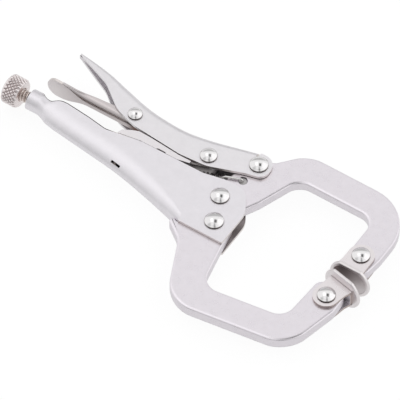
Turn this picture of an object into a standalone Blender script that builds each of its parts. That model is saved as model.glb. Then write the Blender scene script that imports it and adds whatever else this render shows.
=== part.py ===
"""Locking C clamp with swivel pads, lying on its side.

The plan is drawn from the jaw pivot: +X runs along the screw towards the jaws, +Y towards the lever,
and +Z is the thickness of the plates, whose middle plane is z = 0. The finished clamp is then set
down with its origin under the middle of its box.
"""
import math

import bmesh
import bpy
from mathutils import Matrix, Vector

MM = 0.001

# Stock and fits, in millimetres
SHEET = 1.1            # pressed sheet of the handle, lever and pad saddles
RELEASE_SHEET = 1.0    # thinner sheet of the release lever
JAW_PLATE = 5.2        # plate of both jaws
JAW_EDGE = 0.8         # rounding of the jaws' tumbled edges
RUN = 0.3              # clearance between pieces that slide or turn on each other
SEAT = 0.2             # clearance under a rivet head or a pressed joint

# Pivots, from the jaw pivot
LEVER_PIVOT = Vector((4.0, 19.75))
FIXED_RIVET = Vector((4.4, -10.7))
RELEASE_PIVOT = Vector((-46.6, 14.4))
SPRING_HOLE = Vector((2.6, 11.3))
LINK_TAIL = Vector((-47.5, 0.6))   # where the link bears on the screw
SCREW_AXIS = 1.7                   # from the jaw pivot up to the screw's axis
LEVER_ARM = 18.8                   # from the lever pivot to the link pivot, on the locked line

# Jaws
JAW_REACH = 63.8       # from the jaw pivot to the outer edge of the movable arm
MOVABLE_INSET = 6.2    # from there back to the upper pad's rivet
FIXED_INSET = 7.0      # and to the lower pad's rivet
MOVABLE_PAD_RISE = 5.5
FIXED_PAD_DROP = 16.4
ARM_WIDTH = 11.6       # of the movable arm
FIXED_INNER = 6.6      # from the lower pad's rivet to the fixed arm's inner edge
FIXED_OUTER = 5.5      # and to its outer edge
FIXED_LEAN = 1.4       # how far the inner edge leans back down to the bar
BAR_WIDTH = 11.5
MOVABLE_RISE = 34.8    # from the jaw pivot to the top of the movable bar
OUTER_ROUND = 18.0     # outer corner of the movable arm
FIXED_ROUND = 13.0     # outer corner of the fixed arm
INNER_ROUND = 6.0
PIVOT_BOSS = 5.6       # half width of the movable jaw at its pivot
LEVER_BOSS = 4.2       # half width of the movable jaw at the lever pivot
TIP_REACH = 5.6        # from the pad rivets to the arms' ends
TIP_ROUND = 3.5        # corners of the arms' ends
TIP_OUTER = 5.0        # from the pad rivets to the outer corners of the arms' ends
FIXED_DROP = 47.1      # from the jaw pivot to the fixed bar's outer edge, below its left end
BAR_SLOPE = 0.1375     # rise of the fixed bar towards its tip
SPRING_BORE = 3.6      # diameter of the spring hole
FIXED_LEFT = 22.2      # where the drop to the fixed bar is measured
FIXED_ROOT = ((-2.0, 2.5), (10.4, 3.0))   # corners below the movable jaw: x and rounding
FIXED_NECK = ((12.3, -18.0, 10.0), (15.9, 4.5))   # front edge of the root, down to the bar
FIXED_HEEL = ((8.5, 13.0), (-2.7, -23.8, 8.0), (-10.2, -18.4, 1.0), (-10.5, -16.35, 1.0))
HEEL_NOTCH = ((-17.5, 0.6), (-12.0, 3.0))   # corners in front of the spine's end
MOVABLE_NECK = ((13.0, 6.5, 8.0), (19.4, 4.5))    # front edge of the root, up to the bar
MOVABLE_SHOULDER = (17.5, 6.0)           # where the bar's top edge runs down to the lever pivot

# Handle and lever
HANDLE_BACK = ((-76.4, -4.0, 3.95), (-70.0, -5.2, 3.8), (-57.0, -6.9, 3.9), (-40.0, -9.2, 3.9),
               (-25.5, -12.3, 3.6), (-12.0, -15.6, 2.8), (-7.0, -17.0, 2.2), (14.0, -23.0, 2.0))
HANDLE_REAR = -78.4    # rear end of the open channel
HANDLE_LIP = 17.5      # from the jaw pivot down to the edge of the front walls
HANDLE_NOSE = 12.1     # from the jaw pivot to the front edge of the walls
SPINE_END = -7.0       # front end of the handle's spine
HANDLE_EDGE = ((6.5, 7.4, 5.0), (-2.5, 7.4, 4.0), (-11.0, 5.5, 6.0), (-38.0, 5.2, 8.0),
               (-52.0, 2.9, 5.0), (-60.0, 4.1, 8.0), (-72.4, 5.0, 2.0), (-76.2, 2.9, 1.5))
HANDLE_CHEEK = (-1.5, 8.0)   # where the front edge turns towards the top: y and rounding
LIP_ROUND = 2.5
LEVER_BACK = ((-82.0, 29.2, 1.2), (-72.0, 27.5, 1.6), (-63.3, 25.6, 2.2), (-57.0, 23.8, 2.8),
              (-46.0, 20.9, 3.0), (-38.0, 19.6, 3.0), (-26.4, 19.2, 3.0), (-16.0, 20.9, 3.0),
              (-6.0, 23.3, 2.6), (1.0, 25.0, 2.4), (12.0, 29.0, 2.4))
LEVER_TAPER = -57.0    # where the lever's tail begins to narrow
LEVER_TIP = 1.35       # half width of the lever at the end of its tail
LEVER_SPINE_END = 1.0  # front end of the lever's spine
LEVER_NOSE = 5.0       # radius of the lever's walls round its pivot
LEVER_END = (-79.8, 28.2)   # end of the lever's tail
LEVER_EDGE = ((-64.0, 21.2, 12.0), (-53.2, 12.6, 8.0), (-44.0, 9.8, 10.0), (-23.0, 8.0, 12.0),
              (-12.0, 8.8, 10.0), (2.0, 13.8, 6.0))
LEVER_CHIN = (4.2, 3.5)     # from the lever pivot down to the nose's lower corner, and its rounding

# Adjusting screw and knob
SCREW_DIAMETER = 4.8
NECK_WALL = 1.3
NECK_LENGTH = 6.4
NECK_LAP = 0.6         # of the neck over the channel's rear end
KNOB_DIAMETER = 11.7
KNOB_LENGTH = 6.9
KNOB_END = -94.6       # outer end of the knob
KNOB_SOCKET = 4.0      # depth of the screw in the knob
KNOB_CHAMFER = 0.6
TIP_GAP = 1.8          # free play between the link's tail and the screw's tip

# Toggle link and release lever
LINK_EYE = 4.2         # radius of the link round its pivot
LINK_TOE = 3.0         # radius of the link's tail
PADDLE_END = -83.0
PADDLE_LENGTH = 9.5    # of the paddle's wide stretch
PADDLE_TAPER = 8.0     # from there to where it has narrowed to the floor between the flanges
PADDLE_ROUND = 6.0     # rounding of both ends of the taper
PADDLE_HALF = 4.8      # half width of the paddle
PADDLE_FACE = 11.0     # from the jaw pivot to the paddle's underside
RELEASE_NOSE = -37.0
NOSE_DROP = 1.5        # how far the nose is bent down towards the link
RELEASE_EAR = 3.2      # radius of the ears round the release pivot
NOSE_LENGTH = 4.0      # of the bent nose
NOSE_ROUND = 0.8       # corners of the nose
NOSE_BEND = 2.0        # radius of the nose's bend
EAR_FOOT = 2.0         # from the ears down to the floor in front of them
FLANGE_RISE = 2.2      # height of the flanges above the paddle's face, where they begin

# Rivets: shank diameter, head diameter and head height
PIVOT_SIZES = (4.2, 7.1, 1.8)
FIXED_SIZES = (4.2, 7.3, 1.8)
LEVER_SIZES = (4.0, 7.1, 1.8)
LINK_SIZES = (3.6, 6.5, 1.7)
RELEASE_SIZES = (2.8, 5.5, 1.5)
PAD_SIZES = (3.8, 6.9, 1.7)

# Swivel pads
FOOT_RADIUS = 8.4
FOOT_FLAT = 7.2        # from the pad's middle to its flats
FOOT_THICK = 1.4
FOOT_EDGE = 0.45
MOVABLE_SHIFT = 0.8    # how far the upper foot sits outwards of its rivet
FIXED_SHIFT = 0.0      # and the lower foot
EAR_RADIUS = 5.0
MOVABLE_TILT = 0.0     # degrees, as the upper pad rests
FIXED_TILT = -11.5     # and the lower pad

# Return spring
WIRE = 0.9
COIL_GAP = 0.55        # between neighbouring turns
SPRING_TAB = Vector((-41.0, -5.4))
TAB_THICK = 1.2
TAB_LIP = 1.2          # of the tab past the wire that hooks on it
SLIT_LENGTH = 4.4      # slits beside the tab, where it was bent out of the spine
SLIT_WIDTH = 1.1
FRONT_LEG = 9.8        # from the spring hole to the first turn
REAR_LEG = 8.0         # from the tab to the last turn
HOOK_DEPTH = 4.4       # how far the front hook reaches through the jaw

# Facets
ARC_STEP = math.radians(18.0)
ARC_SAG = 0.06         # how far a facet may fall inside its arc
BORE_SIDES = 24
RIVET_SIDES = 18
CURL_POINTS = 9

# Fits that follow from the sizes above
MOVABLE_PAD = Vector((JAW_REACH - MOVABLE_INSET, MOVABLE_PAD_RISE))
FIXED_PAD = Vector((JAW_REACH - FIXED_INSET, -FIXED_PAD_DROP))
PADDLE_WIDE = PADDLE_END + PADDLE_LENGTH
PADDLE_NECK = PADDLE_WIDE + PADDLE_TAPER
CHANNEL_IN = JAW_PLATE / 2 + RUN
CHANNEL_OUT = CHANNEL_IN + SHEET
MOUTH_HALF = CHANNEL_IN + 0.05   # the walls are eased where a channel's back is cut away
RELEASE_OUT = CHANNEL_IN - RUN
RELEASE_IN = RELEASE_OUT - RELEASE_SHEET
LOCK_LINE = (LINK_TAIL - LEVER_PIVOT).normalized()
LINK_PIVOT = LEVER_PIVOT + LEVER_ARM * LOCK_LINE
SCREW_HOLE = SCREW_DIAMETER / 2 + RUN
NECK_RADIUS = SCREW_HOLE + NECK_WALL
NECK_FRONT = HANDLE_REAR + NECK_LAP
REAR_RADIUS = NECK_RADIUS - RUN
SCREW_TIP = LINK_TAIL.x - LINK_TOE - TIP_GAP
SPRING_RADIUS = CHANNEL_IN - RUN - WIRE / 2
SADDLE_BASE = TIP_REACH + 3 * RUN
FOOT_BACK = SADDLE_BASE + SHEET + SEAT
FAR = 60.0             # how far the cutting shapes run past the pieces

for old in list(bpy.data.objects):
    bpy.data.objects.remove(old)

parts = bpy.data.collections.new("locking_c_clamp")
cutters = bpy.data.collections.new("cutters")
bpy.context.scene.collection.children.link(parts)
bpy.context.scene.collection.children.link(cutters)
clamp = bpy.data.objects.new("clamp", None)
parts.objects.link(clamp)


def finish(piece, colour, roughness, metallic=1.0):
    """Give a piece its own metal finish."""
    material = bpy.data.materials.new(piece.name + "_finish")
    material.use_nodes = True
    shader = material.node_tree.nodes["Principled BSDF"]
    shader.inputs["Base Color"].default_value = (*colour, 1.0)
    shader.inputs["Roughness"].default_value = roughness
    shader.inputs["Metallic"].default_value = metallic
    piece.data.materials.clear()
    piece.data.materials.append(material)


def satin_nickel(piece):
    finish(piece, (0.74, 0.73, 0.74), 0.38)


def polished_steel(piece):
    finish(piece, (0.80, 0.79, 0.79), 0.16)


def warm_nickel(piece):
    finish(piece, (0.70, 0.66, 0.64), 0.34)


def spring_steel(piece):
    finish(piece, (0.55, 0.54, 0.53), 0.30)


def add(name, mesh, collection=parts):
    """Link a mesh to the clamp as a piece, or as a cutter."""
    piece = bpy.data.objects.new(name, mesh)
    collection.objects.link(piece)
    piece.parent = clamp
    if collection is cutters:
        piece.hide_render = True
        piece.display_type = "WIRE"
    return piece


def from_bmesh(name, shape, collection=parts):
    mesh = bpy.data.meshes.new(name)
    shape.to_mesh(mesh)
    shape.free()
    return add(name, mesh, collection)


def on_axis(piece, pivot, height=0.0):
    """Put a piece's origin on the axis that it turns or slides on."""
    place = Vector((pivot.x, pivot.y, height)) * MM
    piece.data.transform(Matrix.Translation(-place))
    piece.location = place


def rounded(corners):
    """Closed outline with each corner (x, y, radius) turned by an arc."""
    outline = []
    for index, (x, y, radius) in enumerate(corners):
        corner = Vector((x, y))
        back = (Vector(corners[index - 1][:2]) - corner).normalized()
        ahead = (Vector(corners[(index + 1) % len(corners)][:2]) - corner).normalized()
        half = back.angle(ahead) / 2
        turn = math.pi - 2 * half
        if radius == 0:
            outline.append(corner)
            continue
        centre = corner + (back + ahead).normalized() * radius / math.sin(half)
        start = corner + back * radius / math.tan(half) - centre
        side = math.copysign(1.0, back.x * ahead.y - back.y * ahead.x)
        facet = min(ARC_STEP, 2 * math.acos(max(0.0, 1 - ARC_SAG / radius)))
        steps = max(2, math.ceil(turn / facet))
        for step in range(steps + 1):
            angle = -side * turn * step / steps
            spoke = Matrix.Rotation(angle, 2) @ start
            outline.append(centre + spoke)
    return outline


def plate(name, outline, low, high, collection=parts):
    """Flat blank with an outline in the plan, between two heights."""
    drawing = bpy.data.curves.new(name, "CURVE")
    drawing.dimensions = "2D"
    drawing.fill_mode = "BOTH"
    drawing.extrude = (high - low) / 2 * MM
    spline = drawing.splines.new("POLY")
    spline.points.add(len(outline) - 1)
    for point, place in zip(spline.points, outline):
        point.co = (place[0] * MM, place[1] * MM, 0.0, 1.0)
    spline.use_cyclic_u = True
    drawn = bpy.data.objects.new(name, drawing)
    bpy.context.scene.collection.objects.link(drawn)
    seen = drawn.evaluated_get(bpy.context.evaluated_depsgraph_get())
    mesh = bpy.data.meshes.new_from_object(seen)
    bpy.data.objects.remove(drawn)
    bpy.data.curves.remove(drawing)
    blank = bmesh.new()
    blank.from_mesh(mesh)
    bpy.data.meshes.remove(mesh)
    bmesh.ops.remove_doubles(blank, verts=blank.verts, dist=1e-6)
    bmesh.ops.dissolve_limit(blank, angle_limit=math.radians(1), verts=blank.verts, edges=blank.edges)
    bmesh.ops.translate(blank, verts=blank.verts, vec=(0.0, 0.0, (high + low) / 2 * MM))
    bmesh.ops.recalc_face_normals(blank, faces=blank.faces)
    return from_bmesh(name, blank, collection)


def cylinder(name, radius, length, place, sides=BORE_SIDES, collection=cutters):
    """Round bar along a placing matrix's z axis."""
    bar = bmesh.new()
    bmesh.ops.create_cone(bar, cap_ends=True, segments=sides, radius1=radius * MM, radius2=radius * MM,
                          depth=length * MM)
    bmesh.ops.transform(bar, matrix=place, verts=bar.verts)
    return from_bmesh(name, bar, collection)


def box(name, low, high, collection=cutters):
    block = bmesh.new()
    bmesh.ops.create_cube(block, size=1.0)
    size = [(b - a) * MM for a, b in zip(low, high)]
    middle = Vector([(a + b) / 2 * MM for a, b in zip(low, high)])
    bmesh.ops.scale(block, vec=size, verts=block.verts)
    bmesh.ops.translate(block, vec=middle, verts=block.verts)
    return from_bmesh(name, block, collection)


def at(point, height=0.0):
    return Matrix.Translation(Vector((point[0], point[1], height)) * MM)


def cut(piece, tool, operation="DIFFERENCE"):
    change = piece.modifiers.new(tool.name, "BOOLEAN")
    change.operation = operation
    change.object = tool
    return piece


def bore(piece, pivot, diameter):
    """Hole for a rivet or hook through the whole thickness, with running clearance."""
    hole = cylinder(piece.name + "_bore", diameter / 2 + RUN, FAR, at(pivot))
    return cut(piece, hole)


def soften(piece, width, segments=2):
    """Tumbled edges of a blank."""
    edge = piece.modifiers.new("edges", "BEVEL")
    edge.width = width * MM
    edge.segments = segments
    edge.limit_method = "ANGLE"
    edge.angle_limit = math.radians(60)
    edge.use_clamp_overlap = False
    return piece


def turned(name, profile, place, sides=RIVET_SIDES, collection=parts):
    """Turned piece: a half profile (radius, height), from the top down, spun about z."""
    mesh = bpy.data.meshes.new(name)
    edges = [(i, i + 1) for i in range(len(profile) - 1)]
    mesh.from_pydata([(r * MM, 0.0, h * MM) for r, h in profile], edges, [])
    piece = add(name, mesh, collection)
    spin = piece.modifiers.new("turning", "SCREW")
    spin.axis = "Z"
    spin.steps = sides
    spin.render_steps = sides
    spin.use_merge_vertices = True
    spin.merge_threshold = 1e-6
    spin.use_smooth_shade = True
    piece.matrix_local = place
    return piece


def channel(name, stations, width_at, opening):
    """Pressed sheet channel: U sections (x, back, corner radius) joined into a skin, then thickened.

    opening is +1 where the channel is open towards +Y and -1 where it is open towards -Y.
    """
    skin = bmesh.new()
    rings = []
    corner_steps = 5
    for x, back, radius in stations:
        half = width_at(x)
        bend = min(radius, half)
        section = [(back + opening * FAR, half)]
        for side in (1, -1):
            angles = [math.pi / 2 * step / corner_steps for step in range(corner_steps + 1)]
            for angle in angles if side == 1 else reversed(angles):
                y = back + opening * bend * (1 - math.sin(angle))
                z = side * (half - bend + bend * math.cos(angle))
                section.append((y, z))
        section.append((back + opening * FAR, -half))
        rings.append([skin.verts.new(Vector((x, y, z)) * MM) for y, z in section])
    for ring, following in zip(rings, rings[1:]):
        for i in range(len(ring) - 1):
            quad = (ring[i], following[i], following[i + 1], ring[i + 1])
            skin.faces.new(quad if opening < 0 else tuple(reversed(quad)))
    bmesh.ops.remove_doubles(skin, verts=skin.verts, dist=1e-7)
    sheet = from_bmesh(name, skin)
    thicken = sheet.modifiers.new("sheet", "SOLIDIFY")
    thicken.thickness = SHEET * MM
    thicken.offset = -1.0
    thicken.use_even_offset = True
    return sheet


def handle_back(x):
    """Outer face of the handle's spine."""
    for (rear, start, _), (front, end, _) in zip(HANDLE_BACK, HANDLE_BACK[1:]):
        if rear <= x <= front:
            return start + (end - start) * (x - rear) / (front - rear)


def fixed_handle():
    """Handle channel, rolled into a tube at the rear, where the screw's thread is cut."""
    rear = (HANDLE_REAR, SCREW_AXIS - REAR_RADIUS, REAR_RADIUS)
    span = HANDLE_BACK[0][0] - HANDLE_REAR

    def width_at(x):
        share = min(1.0, (x - HANDLE_REAR) / span)
        return REAR_RADIUS + (CHANNEL_OUT - REAR_RADIUS) * share

    handle = channel("fixed_handle", (rear,) + HANDLE_BACK, width_at, 1)
    side_view = rounded((
        (HANDLE_REAR - 1, -FAR, 0), (SPINE_END, -FAR, 0), (SPINE_END, -HANDLE_LIP, 0),
        (HANDLE_NOSE, -HANDLE_LIP, LIP_ROUND), (HANDLE_NOSE, *HANDLE_CHEEK), *HANDLE_EDGE,
        (HANDLE_REAR - 1, HANDLE_EDGE[-1][1], 0)))
    cut(handle, plate("handle_side_view", side_view, -FAR, FAR, cutters), "INTERSECT")
    mouth = box("handle_mouth", (SPINE_END, -FAR, -MOUTH_HALF), (FAR, FAR, MOUTH_HALF))
    cut(handle, mouth)
    neck_middle = NECK_FRONT - NECK_LENGTH / 2
    along = Matrix.Rotation(math.pi / 2, 4, "Y")
    neck = cylinder("handle_neck", NECK_RADIUS, NECK_LENGTH, at((neck_middle, SCREW_AXIS)) @ along)
    cut(handle, neck, "UNION")
    thread = cylinder("neck_bore", SCREW_HOLE, FAR / 3, at((neck_middle, SCREW_AXIS)) @ along)
    cut(handle, thread)
    bore(handle, Vector((0, 0)), PIVOT_SIZES[0])
    bore(handle, FIXED_RIVET, FIXED_SIZES[0])
    tab_half = SPRING_RADIUS - WIRE / 2 - RUN
    tab_rear = SPRING_TAB.x - TAB_THICK / 2
    tab_front = SPRING_TAB.x + TAB_THICK / 2
    spine = handle_back(SPRING_TAB.x) + SHEET / 2
    for side in (1, -1):
        near = side * (tab_half + SEAT)
        far = near + side * SLIT_WIDTH
        slit = box("spine_slit", (SPRING_TAB.x - SLIT_LENGTH / 2, -FAR, min(near, far)),
                   (SPRING_TAB.x + SLIT_LENGTH / 2, SPRING_TAB.y, max(near, far)))
        cut(handle, slit)
    tab = box("spring_tab", (tab_rear, spine, -tab_half), (tab_front, SPRING_TAB.y + TAB_LIP, tab_half))
    cut(handle, tab, "UNION")
    satin_nickel(handle)


def fixed_jaw():
    """Lower C arm: its root sits between the handle's walls and its heel hooks under the spine."""
    tip_y = FIXED_PAD.y + TIP_REACH
    root_y = -PIVOT_BOSS - 2 * RUN
    behind = SPINE_END + RUN + SEAT

    def bar(x):
        return -FIXED_DROP + BAR_SLOPE * (x - FIXED_LEFT)

    neck, inner_left = FIXED_NECK
    inner_right = FIXED_PAD.x - FIXED_INNER - FIXED_LEAN
    outer_left = FIXED_HEEL[0]
    outer_right = FIXED_PAD.x
    outline = rounded((
        *((x, root_y, radius) for x, radius in FIXED_ROOT), neck,
        (inner_left[0], bar(inner_left[0]) + BAR_WIDTH, inner_left[1]),
        (inner_right, bar(inner_right) + BAR_WIDTH, INNER_ROUND),
        (FIXED_PAD.x - FIXED_INNER, tip_y, TIP_ROUND), (FIXED_PAD.x + TIP_OUTER, tip_y, TIP_ROUND),
        (FIXED_PAD.x + FIXED_OUTER, FIXED_PAD.y - TIP_ROUND, INNER_ROUND),
        (outer_right, bar(outer_right), FIXED_ROUND),
        (outer_left[0], bar(outer_left[0]), outer_left[1]),
        *FIXED_HEEL[1:], *((behind, y, radius) for y, radius in HEEL_NOTCH)))
    jaw = soften(plate("fixed_jaw", outline, -JAW_PLATE / 2, JAW_PLATE / 2), JAW_EDGE)
    bore(jaw, FIXED_RIVET, FIXED_SIZES[0])
    bore(jaw, FIXED_PAD, PAD_SIZES[0])
    satin_nickel(jaw)


def movable_jaw():
    """Upper C arm, which swings on the handle's pivot and carries the lever."""
    inner_x = JAW_REACH - ARM_WIDTH
    under = MOVABLE_RISE - BAR_WIDTH
    lever_top = LEVER_PIVOT.y + LEVER_BOSS
    tip_y = MOVABLE_PAD.y - TIP_REACH
    neck, inner_left = MOVABLE_NECK
    shoulder_x, shoulder_round = MOVABLE_SHOULDER
    outline = rounded((
        (-PIVOT_BOSS, -PIVOT_BOSS, PIVOT_BOSS), (PIVOT_BOSS + 1, -PIVOT_BOSS, PIVOT_BOSS), neck,
        (inner_left[0], under, inner_left[1]), (inner_x, under, INNER_ROUND),
        (inner_x, tip_y, TIP_ROUND), (MOVABLE_PAD.x + TIP_OUTER, tip_y, TIP_ROUND),
        (JAW_REACH, MOVABLE_PAD.y + TIP_ROUND, INNER_ROUND), (JAW_REACH, MOVABLE_RISE, OUTER_ROUND),
        (shoulder_x, MOVABLE_RISE, shoulder_round),
        (LEVER_PIVOT.x + LEVER_BOSS * 0.6, lever_top + RUN, LEVER_BOSS * 0.5),
        (LEVER_PIVOT.x - LEVER_BOSS, lever_top, LEVER_BOSS)))
    jaw = soften(plate("movable_jaw", outline, -JAW_PLATE / 2, JAW_PLATE / 2), JAW_EDGE)
    bore(jaw, Vector((0, 0)), PIVOT_SIZES[0])
    bore(jaw, LEVER_PIVOT, LEVER_SIZES[0])
    bore(jaw, MOVABLE_PAD, PAD_SIZES[0])
    cut(jaw, cylinder("spring_hole", SPRING_BORE / 2, FAR, at(SPRING_HOLE)))
    satin_nickel(jaw)


def lever_handle():
    """Upper handle channel, open towards the fixed handle, whose tail comes up to a point."""
    tail = LEVER_TAPER - LEVER_BACK[0][0]

    def width_at(x):
        share = min(1.0, (x - LEVER_BACK[0][0]) / tail)
        return LEVER_TIP + (CHANNEL_OUT - LEVER_TIP) * share

    lever = channel("lever_handle", LEVER_BACK, width_at, -1)
    nose = LEVER_PIVOT.x + LEVER_NOSE
    top = LEVER_PIVOT.y + LEVER_NOSE
    chin, chin_round = LEVER_CHIN
    side_view = rounded((
        (nose, top, LEVER_NOSE), (LEVER_SPINE_END, top, 0), (LEVER_SPINE_END, FAR, 0),
        (LEVER_END[0], FAR, 0), (*LEVER_END, 0), *LEVER_EDGE, (nose, LEVER_PIVOT.y - chin, chin_round)))
    cut(lever, plate("lever_side_view", side_view, -FAR, FAR, cutters), "INTERSECT")
    mouth = box("lever_mouth", (LEVER_SPINE_END, -FAR, -MOUTH_HALF), (FAR, FAR, MOUTH_HALF))
    cut(lever, mouth)
    bore(lever, LEVER_PIVOT, LEVER_SIZES[0])
    bore(lever, LINK_PIVOT, LINK_SIZES[0])
    bore(lever, RELEASE_PIVOT, RELEASE_SIZES[0])
    satin_nickel(lever)


def toggle_link():
    """Bar from the lever to the screw's tip, straight in line with the lever pivot when locked."""
    across = Vector((-LOCK_LINE.y, LOCK_LINE.x))
    corners = []
    for middle, radius, end, side in ((LINK_PIVOT, LINK_EYE, -1, -1), (LINK_PIVOT, LINK_EYE, -1, 1),
                                      (LINK_TAIL, LINK_TOE, 1, 1), (LINK_TAIL, LINK_TOE, 1, -1)):
        place = middle + LOCK_LINE * end * radius + across * side * radius
        corners.append((place.x, place.y, radius * 0.98))
    half = CHANNEL_IN - RUN
    link = soften(plate("toggle_link", rounded(corners), -half, half), JAW_EDGE, 1)
    bore(link, LINK_PIVOT, LINK_SIZES[0])
    satin_nickel(link)


def release_lever():
    """Small pressed lever: a paddle, a floor with two ears on the pivot, and a nose over the link."""
    top = PADDLE_FACE + RELEASE_SHEET
    floor_plan = rounded((
        (PADDLE_END, -PADDLE_HALF, PADDLE_HALF * 0.96), (PADDLE_WIDE, -PADDLE_HALF, PADDLE_ROUND),
        (PADDLE_NECK, -RELEASE_OUT, PADDLE_ROUND), (RELEASE_NOSE, -RELEASE_OUT, NOSE_ROUND),
        (RELEASE_NOSE, RELEASE_OUT, NOSE_ROUND), (PADDLE_NECK, RELEASE_OUT, PADDLE_ROUND),
        (PADDLE_WIDE, PADDLE_HALF, PADDLE_ROUND),
        (PADDLE_END, PADDLE_HALF, PADDLE_HALF * 0.96)))
    upright = Matrix.Rotation(-math.pi / 2, 4, "X")
    floor = plate("release_floor", floor_plan, -FAR, FAR, cutters)
    floor.data.transform(upright)
    ear_low = RELEASE_PIVOT.x - RELEASE_EAR
    ear_high = RELEASE_PIVOT.x + RELEASE_EAR
    bend = RELEASE_NOSE - NOSE_LENGTH
    past = 2.0
    dip = NOSE_DROP * (RELEASE_NOSE + past - bend) / (RELEASE_NOSE - bend)
    side_view = rounded((
        (PADDLE_END - past, PADDLE_FACE, 0), (bend, PADDLE_FACE, NOSE_BEND),
        (RELEASE_NOSE + past, PADDLE_FACE - dip, 0), (RELEASE_NOSE + past, top - dip, 0),
        (bend, top, NOSE_BEND), (ear_high + EAR_FOOT, top, NOSE_BEND / 2),
        (ear_high, RELEASE_PIVOT.y + RELEASE_EAR, RELEASE_EAR),
        (ear_low, RELEASE_PIVOT.y + RELEASE_EAR, RELEASE_EAR),
        (PADDLE_NECK, PADDLE_FACE + FLANGE_RISE, PADDLE_ROUND), (PADDLE_WIDE, top, PADDLE_ROUND),
        (PADDLE_END - past, top, 0)))
    release = plate("release_lever", side_view, -PADDLE_HALF - past, PADDLE_HALF + past)
    cut(release, floor, "INTERSECT")
    flanges = (PADDLE_NECK + PADDLE_WIDE) / 2 + past
    trough = box("release_trough", (flanges - past, top - 0.05, -RELEASE_IN),
                 (ear_high + past + RUN, FAR, RELEASE_IN))
    cut(release, trough)
    bore(release, RELEASE_PIVOT, RELEASE_SIZES[0])
    on_axis(release, RELEASE_PIVOT)
    warm_nickel(release)


def rivet(name, pivot, sizes, grip):
    """Rivet with a domed head at each end, over a stack that is twice the grip thick."""
    shank, head, rise = sizes
    seat = grip + SEAT
    rim = 0.35
    dome_steps = 4
    dome = []
    for step in range(dome_steps + 1):
        angle = math.pi / 2 * step / dome_steps
        dome.append((head / 2 * math.sin(angle), seat + rim + (rise - rim) * math.cos(angle)))
    upper = dome + [(head / 2, seat), (shank / 2, seat)]
    lower = [(radius, -height) for radius, height in reversed(upper)]
    piece = turned(name, upper + lower, at(pivot))
    polished_steel(piece)


def adjusting_screw():
    """Threaded shank, chamfered at its tip, with its other end in the knob."""
    radius = SCREW_DIAMETER / 2
    chamfer = 0.8
    rear = KNOB_END + KNOB_LENGTH - KNOB_SOCKET
    length = SCREW_TIP - rear
    along = Matrix.Rotation(math.pi / 2, 4, "Y")
    profile = ((0, length), (radius - chamfer, length), (radius, length - chamfer), (radius, 0), (0, 0))
    screw = turned("adjusting_screw", profile, at((rear, SCREW_AXIS)) @ along, BORE_SIDES)
    warm_nickel(screw)


def adjusting_knob():
    """Knob on the screw: chamfered edges, a slightly domed end and a socket for the shank."""
    radius = KNOB_DIAMETER / 2
    socket = SCREW_DIAMETER / 2 + SEAT
    floor = KNOB_LENGTH - KNOB_SOCKET - SEAT
    dome = 0.5
    along = Matrix.Rotation(math.pi / 2, 4, "Y")
    profile = ((socket, KNOB_LENGTH), (radius - KNOB_CHAMFER, KNOB_LENGTH),
               (radius, KNOB_LENGTH - KNOB_CHAMFER), (radius, dome + KNOB_CHAMFER),
               (radius - KNOB_CHAMFER, dome), (radius * 0.5, dome * 0.25), (0, 0))
    inner = ((0, floor), (socket, floor))
    knob = turned("adjusting_knob", inner + profile, at((KNOB_END, SCREW_AXIS)) @ along, 32)
    warm_nickel(knob)


def swivel_pad(name, pivot, tilt, shift):
    """Pad on an arm's tip: a U saddle on the rivet and a round foot with two flats under it."""
    place = at(pivot) @ Matrix.Rotation(math.radians(tilt), 4, "Z")
    base = -SADDLE_BASE - SHEET
    outline = rounded(((-EAR_RADIUS, base, 0.5), (EAR_RADIUS, base, 0.5),
                       (EAR_RADIUS, EAR_RADIUS, EAR_RADIUS * 0.98),
                       (-EAR_RADIUS, EAR_RADIUS, EAR_RADIUS * 0.98)))
    saddle = plate(name + "_saddle", outline, -CHANNEL_OUT, CHANNEL_OUT)
    slot = box(name + "_slot", (-FAR, -SADDLE_BASE, -CHANNEL_IN), (FAR, FAR, CHANNEL_IN))
    hole = cylinder(name + "_hole", PAD_SIZES[0] / 2 + RUN, FAR, Matrix())
    for piece in (saddle, slot, hole):
        piece.matrix_local = place
    cut(cut(saddle, slot), hole)
    satin_nickel(saddle)
    reach = math.asin(FOOT_FLAT / FOOT_RADIUS)
    steps = 10
    outline = []
    for start in (0.0, math.pi):
        for step in range(steps + 1):
            angle = start - reach + 2 * reach * step / steps
            rim = Vector((math.cos(angle), math.sin(angle))) * FOOT_RADIUS
            outline.append(rim + Vector((shift, 0)))
    foot = soften(plate(name + "_foot", outline, FOOT_BACK, FOOT_BACK + FOOT_THICK), FOOT_EDGE, 1)
    foot.data.transform(Matrix.Rotation(math.pi / 2, 4, "X"))
    foot.matrix_local = place
    satin_nickel(foot)
    rivet(name + "_rivet", pivot, PAD_SIZES, CHANNEL_OUT)


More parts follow.
